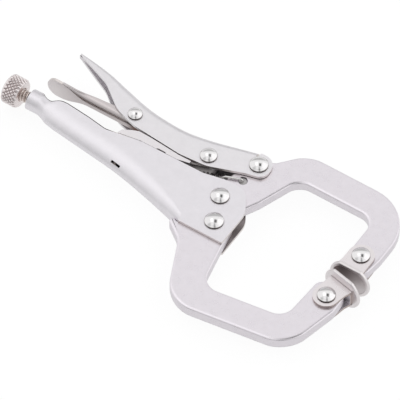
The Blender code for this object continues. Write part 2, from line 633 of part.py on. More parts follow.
def spring_route():
    """Centre line of the return spring: tab hook, turns, then the leg over the jaw and into its hole."""
    lie = SPRING_HOLE - SPRING_TAB
    length = lie.length
    lie.normalize()
    rise = Vector((-lie.y, lie.x))
    radius = SPRING_RADIUS

    def spot(along, across, height):
        place = SPRING_TAB + lie * along + rise * across
        return Vector((place.x, place.y, height))

    route = [spot(2.4, 0, -radius), spot(1.2, 0, -radius)]
    hook_steps = 8
    for step in range(hook_steps + 1):
        angle = math.pi * step / hook_steps
        route.append(spot(-radius * math.sin(angle), 0, -radius * math.cos(angle)))
    route += [spot(REAR_LEG * 0.35, 0, radius), spot(REAR_LEG * 0.7, 0, radius)]
    coil = length - FRONT_LEG - REAR_LEG
    turns = int(coil / (WIRE + COIL_GAP))
    for step in range(turns * CURL_POINTS + 1):
        angle = 2 * math.pi * step / CURL_POINTS
        along = REAR_LEG + coil * step / (turns * CURL_POINTS)
        route.append(spot(along, -radius * math.sin(angle), radius * math.cos(angle)))
    over = JAW_PLATE / 2 + RUN + WIRE / 2
    lead = length - FRONT_LEG
    bend = 1.0
    route += [spot(lead + 1.2, 0, radius + 0.25), spot(lead + 2.4, 0, over), spot(lead + 5.0, 0, over)]
    for step in range(5):
        angle = math.pi / 2 * step / 4
        route.append(spot(length - bend * (1 - math.sin(angle)), 0, over - bend * (1 - math.cos(angle))))
    route.append(spot(length, 0, over - HOOK_DEPTH))
    return route


def return_spring():
    """Wound from one wire, with a hook at each end."""
    route = spring_route()
    wire = bpy.data.curves.new("return_spring", "CURVE")
    wire.dimensions = "3D"
    wire.bevel_depth = WIRE / 2 * MM
    wire.bevel_resolution = 1
    wire.use_fill_caps = True
    spline = wire.splines.new("POLY")
    spline.points.add(len(route) - 1)
    for point, place in zip(spline.points, route):
        point.co = (*(place * MM), 1.0)
    spring = add("return_spring", wire)
    spring_steel(spring)
    walked = [0.0]
    for before, after in zip(route, route[1:]):
        walked.append(walked[-1] + (after - before).length)
    apart = 3 * WIRE
    least = min((a - b).length - WIRE
                for i, a in enumerate(route) for j, b in enumerate(route)
                if walked[j] - walked[i] > apart)
    print(f"return_spring: least gap to itself {least:.2f} mm")


fixed_handle()
fixed_jaw()
movable_jaw()
lever_handle()
toggle_link()
release_lever()
adjusting_screw()
adjusting_knob()
return_spring()
rivet("jaw_pivot_rivet", Vector((0, 0)), PIVOT_SIZES, CHANNEL_OUT)
rivet("fixed_jaw_rivet", FIXED_RIVET, FIXED_SIZES, CHANNEL_OUT)
rivet("lever_rivet", LEVER_PIVOT, LEVER_SIZES, CHANNEL_OUT)
rivet("link_rivet", LINK_PIVOT, LINK_SIZES, CHANNEL_OUT)
rivet("release_rivet", RELEASE_PIVOT, RELEASE_SIZES, CHANNEL_OUT)
swivel_pad("movable_pad", MOVABLE_PAD, MOVABLE_TILT, MOVABLE_SHIFT)
swivel_pad("fixed_pad", FIXED_PAD, 180.0 + FIXED_TILT, -FIXED_SHIFT)
on_axis(bpy.data.objects["movable_jaw"], Vector((0, 0)))
on_axis(bpy.data.objects["lever_handle"], LEVER_PIVOT)
on_axis(bpy.data.objects["toggle_link"], LINK_PIVOT)

# The clamp lies on its side, with its origin under the middle of its box
bpy.context.view_layer.update()
seen = bpy.context.evaluated_depsgraph_get()
corners = []
for piece in parts.objects:
    if piece.type != "EMPTY":
        shown = piece.evaluated_get(seen)
        corners += [shown.matrix_world @ corner.co for corner in shown.to_mesh().vertices]
low = Vector([min(corner[axis] for corner in corners) for axis in range(3)])
high = Vector([max(corner[axis] for corner in corners) for axis in range(3)])
clamp.location = Vector((-(low.x + high.x) / 2, -(low.y + high.y) / 2, -low.z))
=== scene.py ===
"""Locking C clamp with swivel pads: the shape and finish of every piece, the studio and the camera."""
import math

import bmesh
import bpy
from mathutils import Matrix, Vector


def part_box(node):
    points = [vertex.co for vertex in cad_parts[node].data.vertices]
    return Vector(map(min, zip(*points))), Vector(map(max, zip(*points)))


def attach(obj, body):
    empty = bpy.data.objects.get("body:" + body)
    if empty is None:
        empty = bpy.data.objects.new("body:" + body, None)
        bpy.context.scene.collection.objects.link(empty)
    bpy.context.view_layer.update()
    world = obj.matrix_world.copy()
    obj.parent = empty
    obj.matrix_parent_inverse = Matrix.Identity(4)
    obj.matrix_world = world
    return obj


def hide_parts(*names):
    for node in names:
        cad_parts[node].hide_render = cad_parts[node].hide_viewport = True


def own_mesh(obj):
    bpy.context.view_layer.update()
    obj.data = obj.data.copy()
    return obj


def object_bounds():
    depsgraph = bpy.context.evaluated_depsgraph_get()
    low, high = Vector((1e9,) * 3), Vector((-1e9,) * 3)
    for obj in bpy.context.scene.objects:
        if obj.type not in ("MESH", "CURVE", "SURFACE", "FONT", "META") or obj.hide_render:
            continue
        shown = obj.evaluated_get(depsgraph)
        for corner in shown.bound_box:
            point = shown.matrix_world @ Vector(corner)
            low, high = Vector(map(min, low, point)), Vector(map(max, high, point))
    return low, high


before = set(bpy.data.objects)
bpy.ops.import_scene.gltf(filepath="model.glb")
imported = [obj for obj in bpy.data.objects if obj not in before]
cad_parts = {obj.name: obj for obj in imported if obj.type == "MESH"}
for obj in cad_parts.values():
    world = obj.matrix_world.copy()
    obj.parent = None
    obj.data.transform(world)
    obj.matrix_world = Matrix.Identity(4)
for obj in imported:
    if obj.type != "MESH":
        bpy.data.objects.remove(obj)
cad_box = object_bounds()


# Fixed jaw
# The lower C arm is stamped from steel plate, tumbled until its edges are round, and nickel plated.
# Its root sits between the handle's walls on a rivet, and its heel hooks under the handle's spine.
pivot_low, pivot_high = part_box("jaw_pivot_rivet")
MIDDLE = (pivot_low + pivot_high) / 2     # the jaw pivot, from which the plan is drawn in millimetres
MM = 0.001
PLAN = Matrix.Translation(MIDDLE) @ Matrix.Scale(MM, 4)
JAW_PLATE = 5.2
FIXED_PLATE = 5.6
JAW_EDGE = 1.05        # rounding of the tumbled edges
JAW_COLOUR = (0.828, 0.788, 0.832)
FIXED_PAD = Vector((56.8, -16.4))
BAR_WIDTH = 11.5       # of the bar between root and arm, on both jaws
BAR_SLOPE = 0.1375     # the lower bar rises towards the arm, and its outer edge passes this point
BAR_X = 22.2
BAR_Y = -47.1
NECK_ROUND = 6.5       # inside corner between root and bar
INNER_ROUND = 6.0      # inside corner between bar and arm, and the bend near the arm's end
FIXED_ROUND = 13.0     # outer corners of the lower bar
TIP_REACH = 6.0        # from the pad rivets to the arms' ends
TIP_OUTER = 5.0        # from the pad rivets to the outer corners of the ends
TIP_ROUND = 3.2
TIP_INNER_ROUND = 3.5
ARC_STEP = math.radians(8)          # turn between two points of a rounded corner
CORNER_ANGLE = math.radians(60)     # edges that tumbling rounds
CREASE_ANGLE = math.radians(42)     # edges that stay sharp in the shading
CLOUD_SCALE = 300.0
SPECK_SCALE = 2600.0
GRAIN_HEIGHT = 0.00004


class Signal:
    """A shader socket that can be used in sums: each operator adds a Math node to its material."""

    def __init__(self, tree, socket=None):
        self.tree = tree
        self.socket = socket

    def node(self, kind, settings, sockets, output=0):
        """Add a node: first its settings, then the values or links of its sockets."""
        made = self.tree.nodes.new("ShaderNode" + kind)
        for name, value in settings.items():
            setattr(made, name, value)
        for name, value in sockets.items():
            if isinstance(value, Signal):
                self.tree.links.new(value.socket, made.inputs[name])
            else:
                made.inputs[name].default_value = value
        return Signal(self.tree, made.outputs[output] if made.outputs else None)

    def sum(self, operation, first, second):
        return self.node("Math", {"operation": operation}, {0: first, 1: second})

    def __add__(self, other):
        return self.sum("ADD", self, other)

    def __radd__(self, other):
        return self.sum("ADD", other, self)

    def __sub__(self, other):
        return self.sum("SUBTRACT", self, other)

    def __rsub__(self, other):
        return self.sum("SUBTRACT", other, self)

    def __mul__(self, other):
        return self.sum("MULTIPLY", self, other)

    def __rmul__(self, other):
        return self.sum("MULTIPLY", other, self)


def nickel(name, colour, roughness, grain=1.0, cloud=0.05, shade_and_bare=None, where=None, tumbled=1.0):
    """Nickel plating over tumbled steel: a fine grain, and soft clouds in its brightness and gloss.

    Some pieces give a second colour in places, for bare steel and for painted shade, and the amount that
    shows of it.
    Above one, tumbled makes its rounded edges catch the light as broadly as edges worn flat do."""
    material = bpy.data.materials.new(name)
    material.use_nodes = True
    material.node_tree.nodes.clear()
    tree = Signal(material.node_tree)
    spot = tree.node("TexCoord", {}, {}, "Object")
    clouds = tree.node("TexNoise", {}, {"Vector": spot, "Scale": CLOUD_SCALE, "Detail": 4.0,
                                        "Roughness": 0.62})
    specks = tree.node("TexNoise", {}, {"Vector": spot, "Scale": SPECK_SCALE, "Detail": 2.0,
                                        "Roughness": 0.6})
    dull = tuple(part * (1 - cloud) for part in colour)
    bright = tuple(min(1.0, part * (1 + cloud)) for part in colour)
    shade = clouds * 0.7 + specks * 0.3
    metal = tree.node("Mix", {"data_type": "RGBA"}, {0: shade, 6: (*dull, 1.0), 7: (*bright, 1.0)}, 2)
    if shade_and_bare:
        metal = tree.node("Mix", {"data_type": "RGBA"}, {0: where(tree), 6: metal, 7: (*shade_and_bare, 1.0)}, 2)
    gloss = roughness - 0.05 + clouds * 0.06 + specks * 0.05
    facing = tree.node("NewGeometry", {}, {}, "Normal")
    flatter = tree.node("VectorMath", {"operation": "MULTIPLY"}, {0: facing, 1: (1.0, 1.0, tumbled)})
    worn = tree.node("VectorMath", {"operation": "NORMALIZE"}, {0: flatter})
    bump = tree.node("Bump", {}, {"Height": specks, "Strength": 0.12 * grain, "Distance": GRAIN_HEIGHT,
                                  "Normal": worn})
    surface = tree.node("BsdfPrincipled", {}, {"Base Color": metal, "Roughness": gloss, "Metallic": 1.0,
                                               "Normal": bump})
    tree.node("OutputMaterial", {}, {"Surface": surface})
    return material


def marked(tree):
    """Where the piece's own attribute marks painted shade: the grooves of screw and knurl, and the pads'
    contact faces.
    """
    return tree.node("Attribute", {"attribute_name": "shade_and_bare"}, {}, "Fac")


def distance(tree, axis):
    """Distance from the jaw pivot along X, Y or Z, in millimetres."""
    spot = tree.node("TexCoord", {}, {}, "Object")
    return (tree.node("SeparateXYZ", {}, {0: spot}, axis) - MIDDLE[axis]) * (1 / MM)


def ease(tree, value, low, high):
    """Nothing below the low value, one above the high one, and a smooth rise between."""
    return tree.node("MapRange", {"interpolation_type": "SMOOTHSTEP"}, {0: value, 1: low, 2: high})


def panel(corners, height):
    """A flat face in the plan from its corners (x, y, rounding), with the corners that stay sharp."""
    shape = bmesh.new()
    points = [shape.verts.new((x, y, height)) for x, y, rounding in corners]
    shape.faces.new(points)
    for index, (x, y, rounding) in enumerate(corners):
        if rounding > 0:
            corner = Vector((x, y))
            behind = Vector(corners[index - 1][:2]) - corner
            ahead = Vector(corners[(index + 1) % len(corners)][:2]) - corner
            half = behind.angle(ahead) / 2
            steps = max(3, round((math.pi - 2 * half) / ARC_STEP))
            bmesh.ops.bevel(shape, geom=[points[index]], offset=rounding / math.tan(half), segments=steps,
                            profile=0.5, affect="VERTICES", material=-1)
    return shape, [point for point, corner in zip(points, corners) if corner[2] == 0]


def blank(corners, low, high):
    """A plate with the outline of a panel, between two heights."""
    shape = panel(corners, low)[0]
    grown = bmesh.ops.extrude_face_region(shape, geom=shape.faces[:])["geom"]
    raised = [part for part in grown if isinstance(part, bmesh.types.BMVert)]
    bmesh.ops.translate(shape, verts=raised, vec=(0, 0, high - low))
    bmesh.ops.recalc_face_normals(shape, faces=shape.faces)
    return shape


def tumble(shape, width, steps=4):
    """Round every sharp edge of a shape."""
    sharp = [edge for edge in shape.edges if edge.calc_face_angle(0) > CORNER_ANGLE]
    bmesh.ops.bevel(shape, geom=sharp, offset=width, segments=steps, profile=0.5, affect="EDGES",
                    material=-1, clamp_overlap=False)


def fit(name, shape, material, body, node):
    """Set a shape down in the row frame as the piece that stands for a CAD node."""
    bmesh.ops.transform(shape, matrix=PLAN, verts=shape.verts)
    for face in shape.faces:
        face.smooth = True
    for edge in shape.edges:
        edge.smooth = edge.calc_face_angle(0) < CREASE_ANGLE
    mesh = bpy.data.meshes.new(name)
    shape.to_mesh(mesh)
    shape.free()
    mesh.materials.append(material)
    piece = bpy.data.objects.new(name, mesh)
    bpy.context.scene.collection.objects.link(piece)
    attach(piece, body)
    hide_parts(node)
    return piece


def true_faces(piece):
    """Keep the shading of wide flat faces flat up to their rounded edges."""
    even = piece.modifiers.new("true_faces", "WEIGHTED_NORMAL")
    even.keep_sharp = True
    return piece


def bar_edge(x):
    """Where the lower bar's outer edge is, at x."""
    return BAR_Y + BAR_SLOPE * (x - BAR_X)


jaw_nickel = nickel("jaw_nickel", JAW_COLOUR, 0.28, 0.7, 0.10, tumbled=3.5)
neck_x = 15.9
inner_x = FIXED_PAD.x - 8.0
heel_x = 8.5
tip_y = FIXED_PAD.y + TIP_REACH
root = ((-2.0, -6.2, 2.5), (10.4, -6.2, 3.0), (12.3, -18.0, 10.0))
throat = ((neck_x, bar_edge(neck_x) + BAR_WIDTH, NECK_ROUND),
          (inner_x, bar_edge(inner_x) + BAR_WIDTH, INNER_ROUND))
arm_end = ((FIXED_PAD.x - 6.6, tip_y, TIP_INNER_ROUND), (FIXED_PAD.x + TIP_OUTER, tip_y, TIP_ROUND),
           (FIXED_PAD.x + 5.5, FIXED_PAD.y - 3.5, INNER_ROUND))
outer_edge = ((FIXED_PAD.x, bar_edge(FIXED_PAD.x), FIXED_ROUND), (heel_x, bar_edge(heel_x), FIXED_ROUND))
heel = ((-2.7, -23.8, 8.0), (-10.2, -18.4, 1.3), (-10.4, -16.2, 1.0), (-6.5, -17.4, 1.2),
        (-6.5, -12.0, 3.0))
fixed_jaw = blank((*root, *throat, *arm_end, *outer_edge, *heel), -FIXED_PLATE / 2, FIXED_PLATE / 2)
tumble(fixed_jaw, JAW_EDGE)
true_faces(fit("fixed_jaw_plate", fixed_jaw, jaw_nickel, "handle", "fixed_jaw"))


# Movable jaw
# The upper C arm comes from the same plate, and swings on the handle's front rivet. Its root also
# carries the lever. A small hole between the two rivets, with a steel pin in it, takes the hook of the
# return spring.
MOVABLE_PAD = Vector((57.6, 5.5))
LEVER_PIVOT = Vector((4.0, 19.75))
SPRING_HOLE = Vector((2.6, 11.3))
SPRING_BORE = 3.6
DRILL_LENGTH = 40.0
SPRING_PIN = 2.9
PIN_LENGTH = 4.4
PIN_COLOUR = (0.50, 0.485, 0.485)
JAW_REACH = 63.8
ARM_WIDTH = 11.6
MOVABLE_TOP = 34.8
MOVABLE_ROUND = 18.0   # outer corner of the upper arm
SHOULDER_ROUND = 12.0  # where the bar's top edge runs down to the lever
EYE_ROUND = 5.55       # round the jaw pivot


def punch(piece, tool, operation="DIFFERENCE", material=None):
    """Cut a closed shape out of a piece, or weld it on, and keep only the result."""
    bmesh.ops.transform(tool, matrix=PLAN, verts=tool.verts)
    bmesh.ops.recalc_face_normals(tool, faces=tool.faces)
    mesh = bpy.data.meshes.new("punch")
    tool.to_mesh(mesh)
    tool.free()
    if material:
        mesh.materials.append(material)
    die = bpy.data.objects.new("punch", mesh)
    bpy.context.scene.collection.objects.link(die)
    stroke = piece.modifiers.new("stroke", "BOOLEAN")
    stroke.operation = operation
    stroke.object = die
    stroke.material_mode = "TRANSFER" if material else "INDEX"
    struck = bpy.data.meshes.new_from_object(piece.evaluated_get(bpy.context.evaluated_depsgraph_get()))
    piece.modifiers.clear()
    piece.data = struck
    bpy.data.objects.remove(die)
    bpy.data.meshes.remove(mesh)
    return piece


def peg(diameter, length):
    """A round in the spring hole: the drill that cuts it, or the pin."""
    shape = bmesh.new()
    bmesh.ops.create_cone(shape, cap_ends=True, segments=40, radius1=diameter / 2, radius2=diameter / 2,
                          depth=length)
    bmesh.ops.translate(shape, verts=shape.verts, vec=(*SPRING_HOLE, 0))
    return shape


under = MOVABLE_TOP - BAR_WIDTH
inner_x = JAW_REACH - ARM_WIDTH
tip_y = MOVABLE_PAD.y - TIP_REACH
root = ((-5.6, -5.6, EYE_ROUND), (6.6, -5.6, EYE_ROUND), (13.0, 6.5, 8.0))
throat = ((19.4, under, NECK_ROUND), (inner_x, under, INNER_ROUND))
arm_end = ((inner_x, tip_y, TIP_INNER_ROUND), (MOVABLE_PAD.x + TIP_OUTER, tip_y, TIP_ROUND),
           (JAW_REACH, MOVABLE_PAD.y + 3.5, INNER_ROUND))
outer_edge = ((JAW_REACH, MOVABLE_TOP, MOVABLE_ROUND), (16.4, MOVABLE_TOP, SHOULDER_ROUND))
lever_end = ((7.4, 24.3, 4.0), (-0.2, 23.95, 4.15))
movable_jaw = blank((*root, *throat, *arm_end, *outer_edge, *lever_end), -JAW_PLATE / 2, JAW_PLATE / 2)
tumble(movable_jaw, JAW_EDGE)
movable_plate = fit("movable_jaw_plate", movable_jaw, jaw_nickel, "jaw", "movable_jaw")
punch(movable_plate, peg(SPRING_BORE, DRILL_LENGTH))
pin_steel = nickel("pin_steel", PIN_COLOUR, 0.40)
true_faces(punch(movable_plate, peg(SPRING_PIN, PIN_LENGTH), "UNION", pin_steel))


# Fixed handle
# A channel pressed from thin steel sheet, open towards the lever, with the jaws between its front walls.
# Its rear end is rolled into a short tube, tapped for the adjusting screw. Two slits in its spine free
# a tab for the return spring, and its cut edges are deburred.
SHEET = 1.1
CHANNEL_HALF = 4.0
SHEET_EDGE = 0.22      # rounding of a deburred edge, wider on the handle
HANDLE_DEBURR = 0.34
SCREW_AXIS = 1.7
NECK_RADIUS = 4.0
NECK_END = -84.2
NECK_STEPS = 30
ROLL_FRONT = -73.8     # where the channel starts to close, and the length over which it does
ROLL_LENGTH = 6.0
HANDLE_COLOUR = (0.880, 0.855, 0.890)
EDGE_COLOUR = (0.83, 0.775, 0.755)
EDGE_SHADE = (0.10, 0.09, 0.09)
# a little darker than the outside plating: painted shade on the inner faces
INSIDE_SHADE_COLOUR = (0.80, 0.775, 0.80)
# painted shade: the handle's inside and its spring tab, much darker than the outside
HOLLOW_SHADE_COLOUR = (0.46, 0.42, 0.41)
HANDLE_BACK = ((-76.4, -4.0, 3.95, 7.9), (-70.0, -5.2, 3.8, 7.6), (-57.0, -6.9, 3.9, 7.8),
               (-40.0, -9.2, 3.9, 7.8), (-25.5, -12.3, 3.6, 6.8), (-12.0, -15.6, 2.8, 4.2),
               (-7.3, -16.9, 2.3, 2.7))   # x, height of the back, bend across it and along the wall
HANDLE_REAR = -70.0
REAR_EDGE = 5.06
NECK_EDGE = ((NECK_END, 1.0), (-82.4, 1.0), (-81.4, 0.90), (-80.6, 0.80), (-79.8, 0.72), (-79.0, 0.67),
             (-77.8, 0.675), (-76.6, 0.73), (-75.6, 0.785), (-74.6, 0.86), (-73.5, 0.935), (-72.2, 0.985),
             (HANDLE_REAR, 1.0))   # x, and the share of the half section that the wall reaches
EDGE_LINE = 0.35       # the strip along the open edge that lies in the shade of the lever
LINE_FRONT = -39.0
LINE_REAR = -81.0
LINE_TAPER = 12.0
SPRING_TAB = Vector((-41.0, -5.4))
TAB_LOW = -2.4
TAB_HIGH = 1.2
TAB_HALF = 1.4
SLIT_LENGTH = 4.4
SLIT_WIDTH = 0.6
SLIT_OFFSET = 2.35
BEND_STEPS = 9


def along(stations, x):
    """The values of a run of stations at x, joined by a smooth curve."""
    last = len(stations) - 1
    at = max(0, min(last - 1, sum(station[0] <= x for station in stations) - 1))
    here, there = stations[at], stations[at + 1]
    before, after = stations[max(0, at - 1)], stations[min(last, at + 2)]
    span = there[0] - here[0]
    t = (x - here[0]) / span
    values = []
    for i in range(1, len(here)):
        leave = (there[i] - before[i]) / (there[0] - before[0]) * span
        arrive = (after[i] - here[i]) / (after[0] - here[0]) * span
        values.append((2 * t**3 - 3 * t**2 + 1) * here[i] + (t**3 - 2 * t**2 + t) * leave
                      + (3 * t**2 - 2 * t**3) * there[i] + (t**3 - t**2) * arrive)
    return values


def new_edge(shape, edges):
    """Pull an edge line out of a sheet: the new vertices, and the line that they make."""
    grown = bmesh.ops.extrude_edge_only(shape, edges=edges)["geom"]
    fresh = {part for part in grown if isinstance(part, bmesh.types.BMVert)}
    line = [part for part in grown if isinstance(part, bmesh.types.BMEdge) and set(part.verts) <= fresh]
    return fresh, line


def fold(shape, line, stations, half_at, opening):
    """Bend a wall's long edge round into half of the channel's back, up to the middle plane.

    The stations give the back, the bend across it and, where it differs, the bend along the wall."""
    for step in range(1, BEND_STEPS + 2):
        fresh, line = new_edge(shape, line)
        angle = min(step, BEND_STEPS) / BEND_STEPS * math.pi / 2
        for vertex in fresh:
            back, bend, *reach = along(stations, vertex.co.x)
            tall = reach[0] if reach else bend
            half = half_at(vertex.co.x)
            bend = min(bend, half * 0.98)
            vertex.co.y = back + opening * tall * (1 - math.sin(angle))
            vertex.co.z = half - bend * (1 - math.cos(angle)) if step <= BEND_STEPS else 0.0


def everything(shape):
    """All parts of a shape, as the operators take them."""
    return shape.verts[:] + shape.edges[:] + shape.faces[:]


def mirror(shape, weld=0.001):
    """Complete half a shape about the middle plane, and weld it."""
    bmesh.ops.mirror(shape, geom=everything(shape), axis="Z", merge_dist=0.001)
    bmesh.ops.remove_doubles(shape, verts=shape.verts, dist=weld)
    bmesh.ops.recalc_face_normals(shape, faces=shape.faces)


def join(shape):
    """Complete a channel from its half, with its faces outwards."""
    mirror(shape)
    widest = max(shape.faces, key=lambda face: face.calc_area())
    if widest.normal.z * widest.calc_center_median().z < 0:
        bmesh.ops.reverse_faces(shape, faces=shape.faces)


def thicken(piece, thickness, edge, inside):
    """Give a skin its wall, inwards, with its own materials on the cut edge and on the inside; several of
    these carry painted shade.
    """
    wall = piece.modifiers.new("sheet", "SOLIDIFY")
    wall.thickness = thickness * MM
    wall.offset = -1.0
    wall.use_even_offset = True
    wall.material_offset_rim = 1
    wall.material_offset = 2
    piece.data.materials.append(edge)
    piece.data.materials.append(inside)
    return piece


def deburr(piece, edge=SHEET_EDGE, finish=1):
    """Round the cut edges of a sheet piece, in the finish of the cut or, with 0, of the outside."""
    round_edge = piece.modifiers.new("deburred", "BEVEL")
    round_edge.width = edge * MM
    round_edge.segments = 3
    round_edge.limit_method = "ANGLE"
    round_edge.angle_limit = math.radians(50)
    round_edge.material = finish
    return true_faces(piece)


def full_width(x):
    """Half the handle's width, which is even along its length."""
    return CHANNEL_HALF


def neck_point(x, share):
    """A point of the handle's rear section, from the middle of its back (share 0) to its edge (share 1)."""
    back, bend, tall = along(HANDLE_BACK, max(x, HANDLE_BACK[0][0]))
    wall = REAR_EDGE - (back + tall)
    quarter = (bend + tall) * math.pi / 4
    flat = CHANNEL_HALF - bend
    walked = share * (flat + quarter + wall)
    if walked < flat:
        channel = Vector((back, walked))
    elif walked < flat + quarter:
        angle = (walked - flat) / quarter * math.pi / 2
        channel = Vector((back + tall * (1 - math.cos(angle)), flat + bend * math.sin(angle)))
    else:
        channel = Vector((back + tall + walked - flat - quarter, CHANNEL_HALF))
    turn = math.pi * (share - 0.5)
    rolled = Vector((SCREW_AXIS + NECK_RADIUS * math.sin(turn), NECK_RADIUS * math.cos(turn)))
    roll = max(0.0, min(1.0, (ROLL_FRONT - x) / ROLL_LENGTH))
    roll = roll * roll * (3 - 2 * roll)
    return channel.lerp(rolled, roll)


runs = 30
rear_x, front_x = HANDLE_REAR, HANDLE_BACK[-1][0]
bend_line = []
for run in range(runs + 1):
    x = rear_x + (front_x - rear_x) * run / runs
    back, bend, tall = along(HANDLE_BACK, x)
    bend_line.append((x, back + tall, 0))
handle, kept = panel((
    *bend_line, (-7.1, -17.5, 0.4), (12.1, -17.5, 1.0), (12.1, -1.5, 8.0), (6.5, 7.4, 5.0),
    (-2.5, 7.4, 4.0), (-11.0, 5.5, 6.0), (-38.0, 5.2, 8.0), (-52.0, 2.9 - EDGE_LINE, 5.0),
    (-60.0, 4.1 - EDGE_LINE, 8.0), (rear_x, REAR_EDGE - EDGE_LINE, 0)), CHANNEL_HALF)
bend_edges = [handle.edges.get(pair) for pair in zip(kept[:runs], kept[1:runs + 1])]
fold(handle, bend_edges, HANDLE_BACK, full_width, 1)
slits = []
for face in handle.faces:
    middle = face.calc_center_median()
    if abs(middle.x - SPRING_TAB.x) < SLIT_LENGTH / 2 and abs(middle.z - SLIT_OFFSET) < SLIT_WIDTH / 2:
        slits.append(face)
bmesh.ops.delete(handle, geom=slits, context="FACES")
rear_edge = handle.edges.get((kept[0], kept[-1]))
bmesh.ops.subdivide_edges(handle, edges=[rear_edge], cuts=7)
share = handle.verts.layers.float.new("share")
rear_verts = [vertex for vertex in handle.verts if abs(vertex.co.x - rear_x) < 1e-4]
back, bend, tall = along(HANDLE_BACK, rear_x)
quarter = (bend + tall) * math.pi / 4
around = CHANNEL_HALF - bend + quarter + REAR_EDGE - back - tall
for vertex in rear_verts:
    if vertex.co.y > back + tall:
        vertex[share] = 1 - (REAR_EDGE - vertex.co.y) / around    # the wall stops short, at the dark strip
    else:
        lean = math.asin(max(-1.0, min(1.0, (vertex.co.z - CHANNEL_HALF + bend) / bend)))
        bent = CHANNEL_HALF - bend + quarter * lean / (math.pi / 2)
        vertex[share] = bent / around if vertex.co.z > 0.01 else 0.0
line = [edge for edge in handle.edges if edge.verts[0] in rear_verts and edge.verts[1] in rear_verts]
for step in range(1, NECK_STEPS + 1):
    x = rear_x + (NECK_END - rear_x) * step / NECK_STEPS
    fresh, line = new_edge(handle, line)
    for vertex in fresh:
        spot = neck_point(x, vertex[share] * along(NECK_EDGE, x)[0])
        vertex.co = (x, spot.x, max(0.0, spot.y))
open_edge = []
for edge in handle.edges:
    ends = [vertex.co for vertex in edge.verts]
    if edge.is_boundary and all(LINE_REAR < end.x < LINE_FRONT + 1 and end.y > 2.0 for end in ends):
        open_edge.append(edge)
fresh, line = new_edge(handle, open_edge)
for vertex in fresh:
    x = vertex.co.x
    if x < rear_x:
        spot = neck_point(x, along(NECK_EDGE, x)[0])
        vertex.co = (x, spot.x, max(0.0, spot.y))
    else:
        vertex.co.y += EDGE_LINE * min(1.0, (LINE_FRONT - x) / LINE_TAPER)
for edge in line:
    for face in edge.link_faces:
        face.material_index = 1
join(handle)
tab_verts = []
for rise, side in ((TAB_LOW, -TAB_HALF), (TAB_HIGH, -TAB_HALF), (TAB_HIGH, TAB_HALF), (TAB_LOW, TAB_HALF)):
    tab_verts.append(handle.verts.new(Vector((*SPRING_TAB, 0)) + Vector((0, rise, side))))
# The tab takes the handle's dark inside material: painted shade.
handle.faces.new(tab_verts).material_index = 2
handle_nickel = nickel("handle_nickel", HANDLE_COLOUR, 0.42, 1.0, 0.09)
edge_steel = nickel("edge_steel", EDGE_COLOUR, 0.36)
inside_shade_nickel = nickel("inside_shade_nickel", INSIDE_SHADE_COLOUR, 0.45)
hollow_shade_nickel = nickel("hollow_shade_nickel", HOLLOW_SHADE_COLOUR, 0.45)


def facing_lever(tree):
    """The handle's long open edge, which lies in the shade of the lever."""
    return ease(tree, distance(tree, 1), 0.0, 2.0) * (1 - ease(tree, distance(tree, 0), -52.0, -46.0))


handle_edge = nickel("handle_edge", EDGE_COLOUR, 0.36, 1.0, 0.05, EDGE_SHADE, facing_lever)
handle_piece = fit("fixed_handle_channel", handle, handle_nickel, "handle", "fixed_handle")
thicken(handle_piece, SHEET, handle_edge, hollow_shade_nickel)
deburr(handle_piece, HANDLE_DEBURR)


# Lever handle
# The second pressed channel straddles the movable jaw on a rivet and is open towards the handle.
# Its back is waisted for the fingers, and its tail tapers up to a point away from the handle.
LEVER_BACK = ((-79.8, 28.9, 0.6), (-72.0, 27.5, 1.3), (-63.3, 25.6, 2.0), (-57.0, 23.8, 2.7),
              (-46.0, 20.9, 3.0), (-38.0, 19.6, 3.0), (-26.4, 19.2, 3.0), (-16.0, 20.9, 3.0),
              (-6.0, 23.3, 2.6), (1.0, 25.0, 2.4))
LEVER_TAPER = -53.0
LEVER_TIP = 1.45
TAIL_CURVE = 1.6
LEVER_COLOUR = (0.880, 0.858, 0.882)
LEVER_EDGE_COLOUR = (0.86, 0.84, 0.855)


def lever_half(x):
    """Half the lever's width: even along the grip, narrowing ever faster in the tail."""
    share = max(0.0, min(1.0, (LEVER_TAPER - x) / (LEVER_TAPER - LEVER_BACK[0][0])))
    return CHANNEL_HALF - (CHANNEL_HALF - LEVER_TIP) * share**TAIL_CURVE


runs = 34
bend_line = []
for run in range(runs + 1):
    x = LEVER_BACK[-1][0] + (LEVER_BACK[0][0] - LEVER_BACK[-1][0]) * run / runs
    back, bend = along(LEVER_BACK, x)
    bend_line.append((x, back - bend, 0))
lever, kept = panel((
    (-64.0, 21.2, 12.0), (-53.2, 12.6, 8.0), (-44.0, 9.8, 10.0), (-23.0, 8.0, 12.0), (-12.0, 8.8, 10.0),
    (2.0, 13.8, 6.0), (9.0, 15.55, 3.5), (9.0, 24.75, 4.9), (1.9, 24.75, 0.6), (1.6, 21.8, 0.4),
    *bend_line, (-79.8, 28.1, 0)), CHANNEL_HALF)
for x, y, rounding in bend_line:
    if x < LEVER_TAPER:
        bmesh.ops.bisect_plane(lever, geom=everything(lever), dist=0.01, plane_co=(x, 0, 0),
                               plane_no=(1, 0, 0))
bent = set()
for vertex in lever.verts:
    back, bend = along(LEVER_BACK, vertex.co.x)
    if abs(vertex.co.y - back + bend) < 0.01 and vertex.co.x <= LEVER_BACK[-1][0] + 0.01:
        bent.add(vertex)
bend_edges = [edge for edge in lever.edges if set(edge.verts) <= bent]
for vertex in lever.verts:
    vertex.co.z = lever_half(vertex.co.x)
fold(lever, bend_edges, LEVER_BACK, lever_half, -1)
join(lever)


def over_link(tree):
    """The front of the lever's open edge, rubbed by the link and the handle."""
    return ease(tree, distance(tree, 0), -42.0, -24.0)


lever_nickel = nickel("lever_nickel", LEVER_COLOUR, 0.42, 1.0, 0.09)
lever_piece = fit("lever_handle_channel", lever, lever_nickel, "lever", "lever_handle")
lever_edge = nickel("lever_edge", LEVER_EDGE_COLOUR, 0.36, 1.0, 0.05, EDGE_COLOUR, over_link)
deburr(thicken(lever_piece, SHEET, lever_edge, inside_shade_nickel))


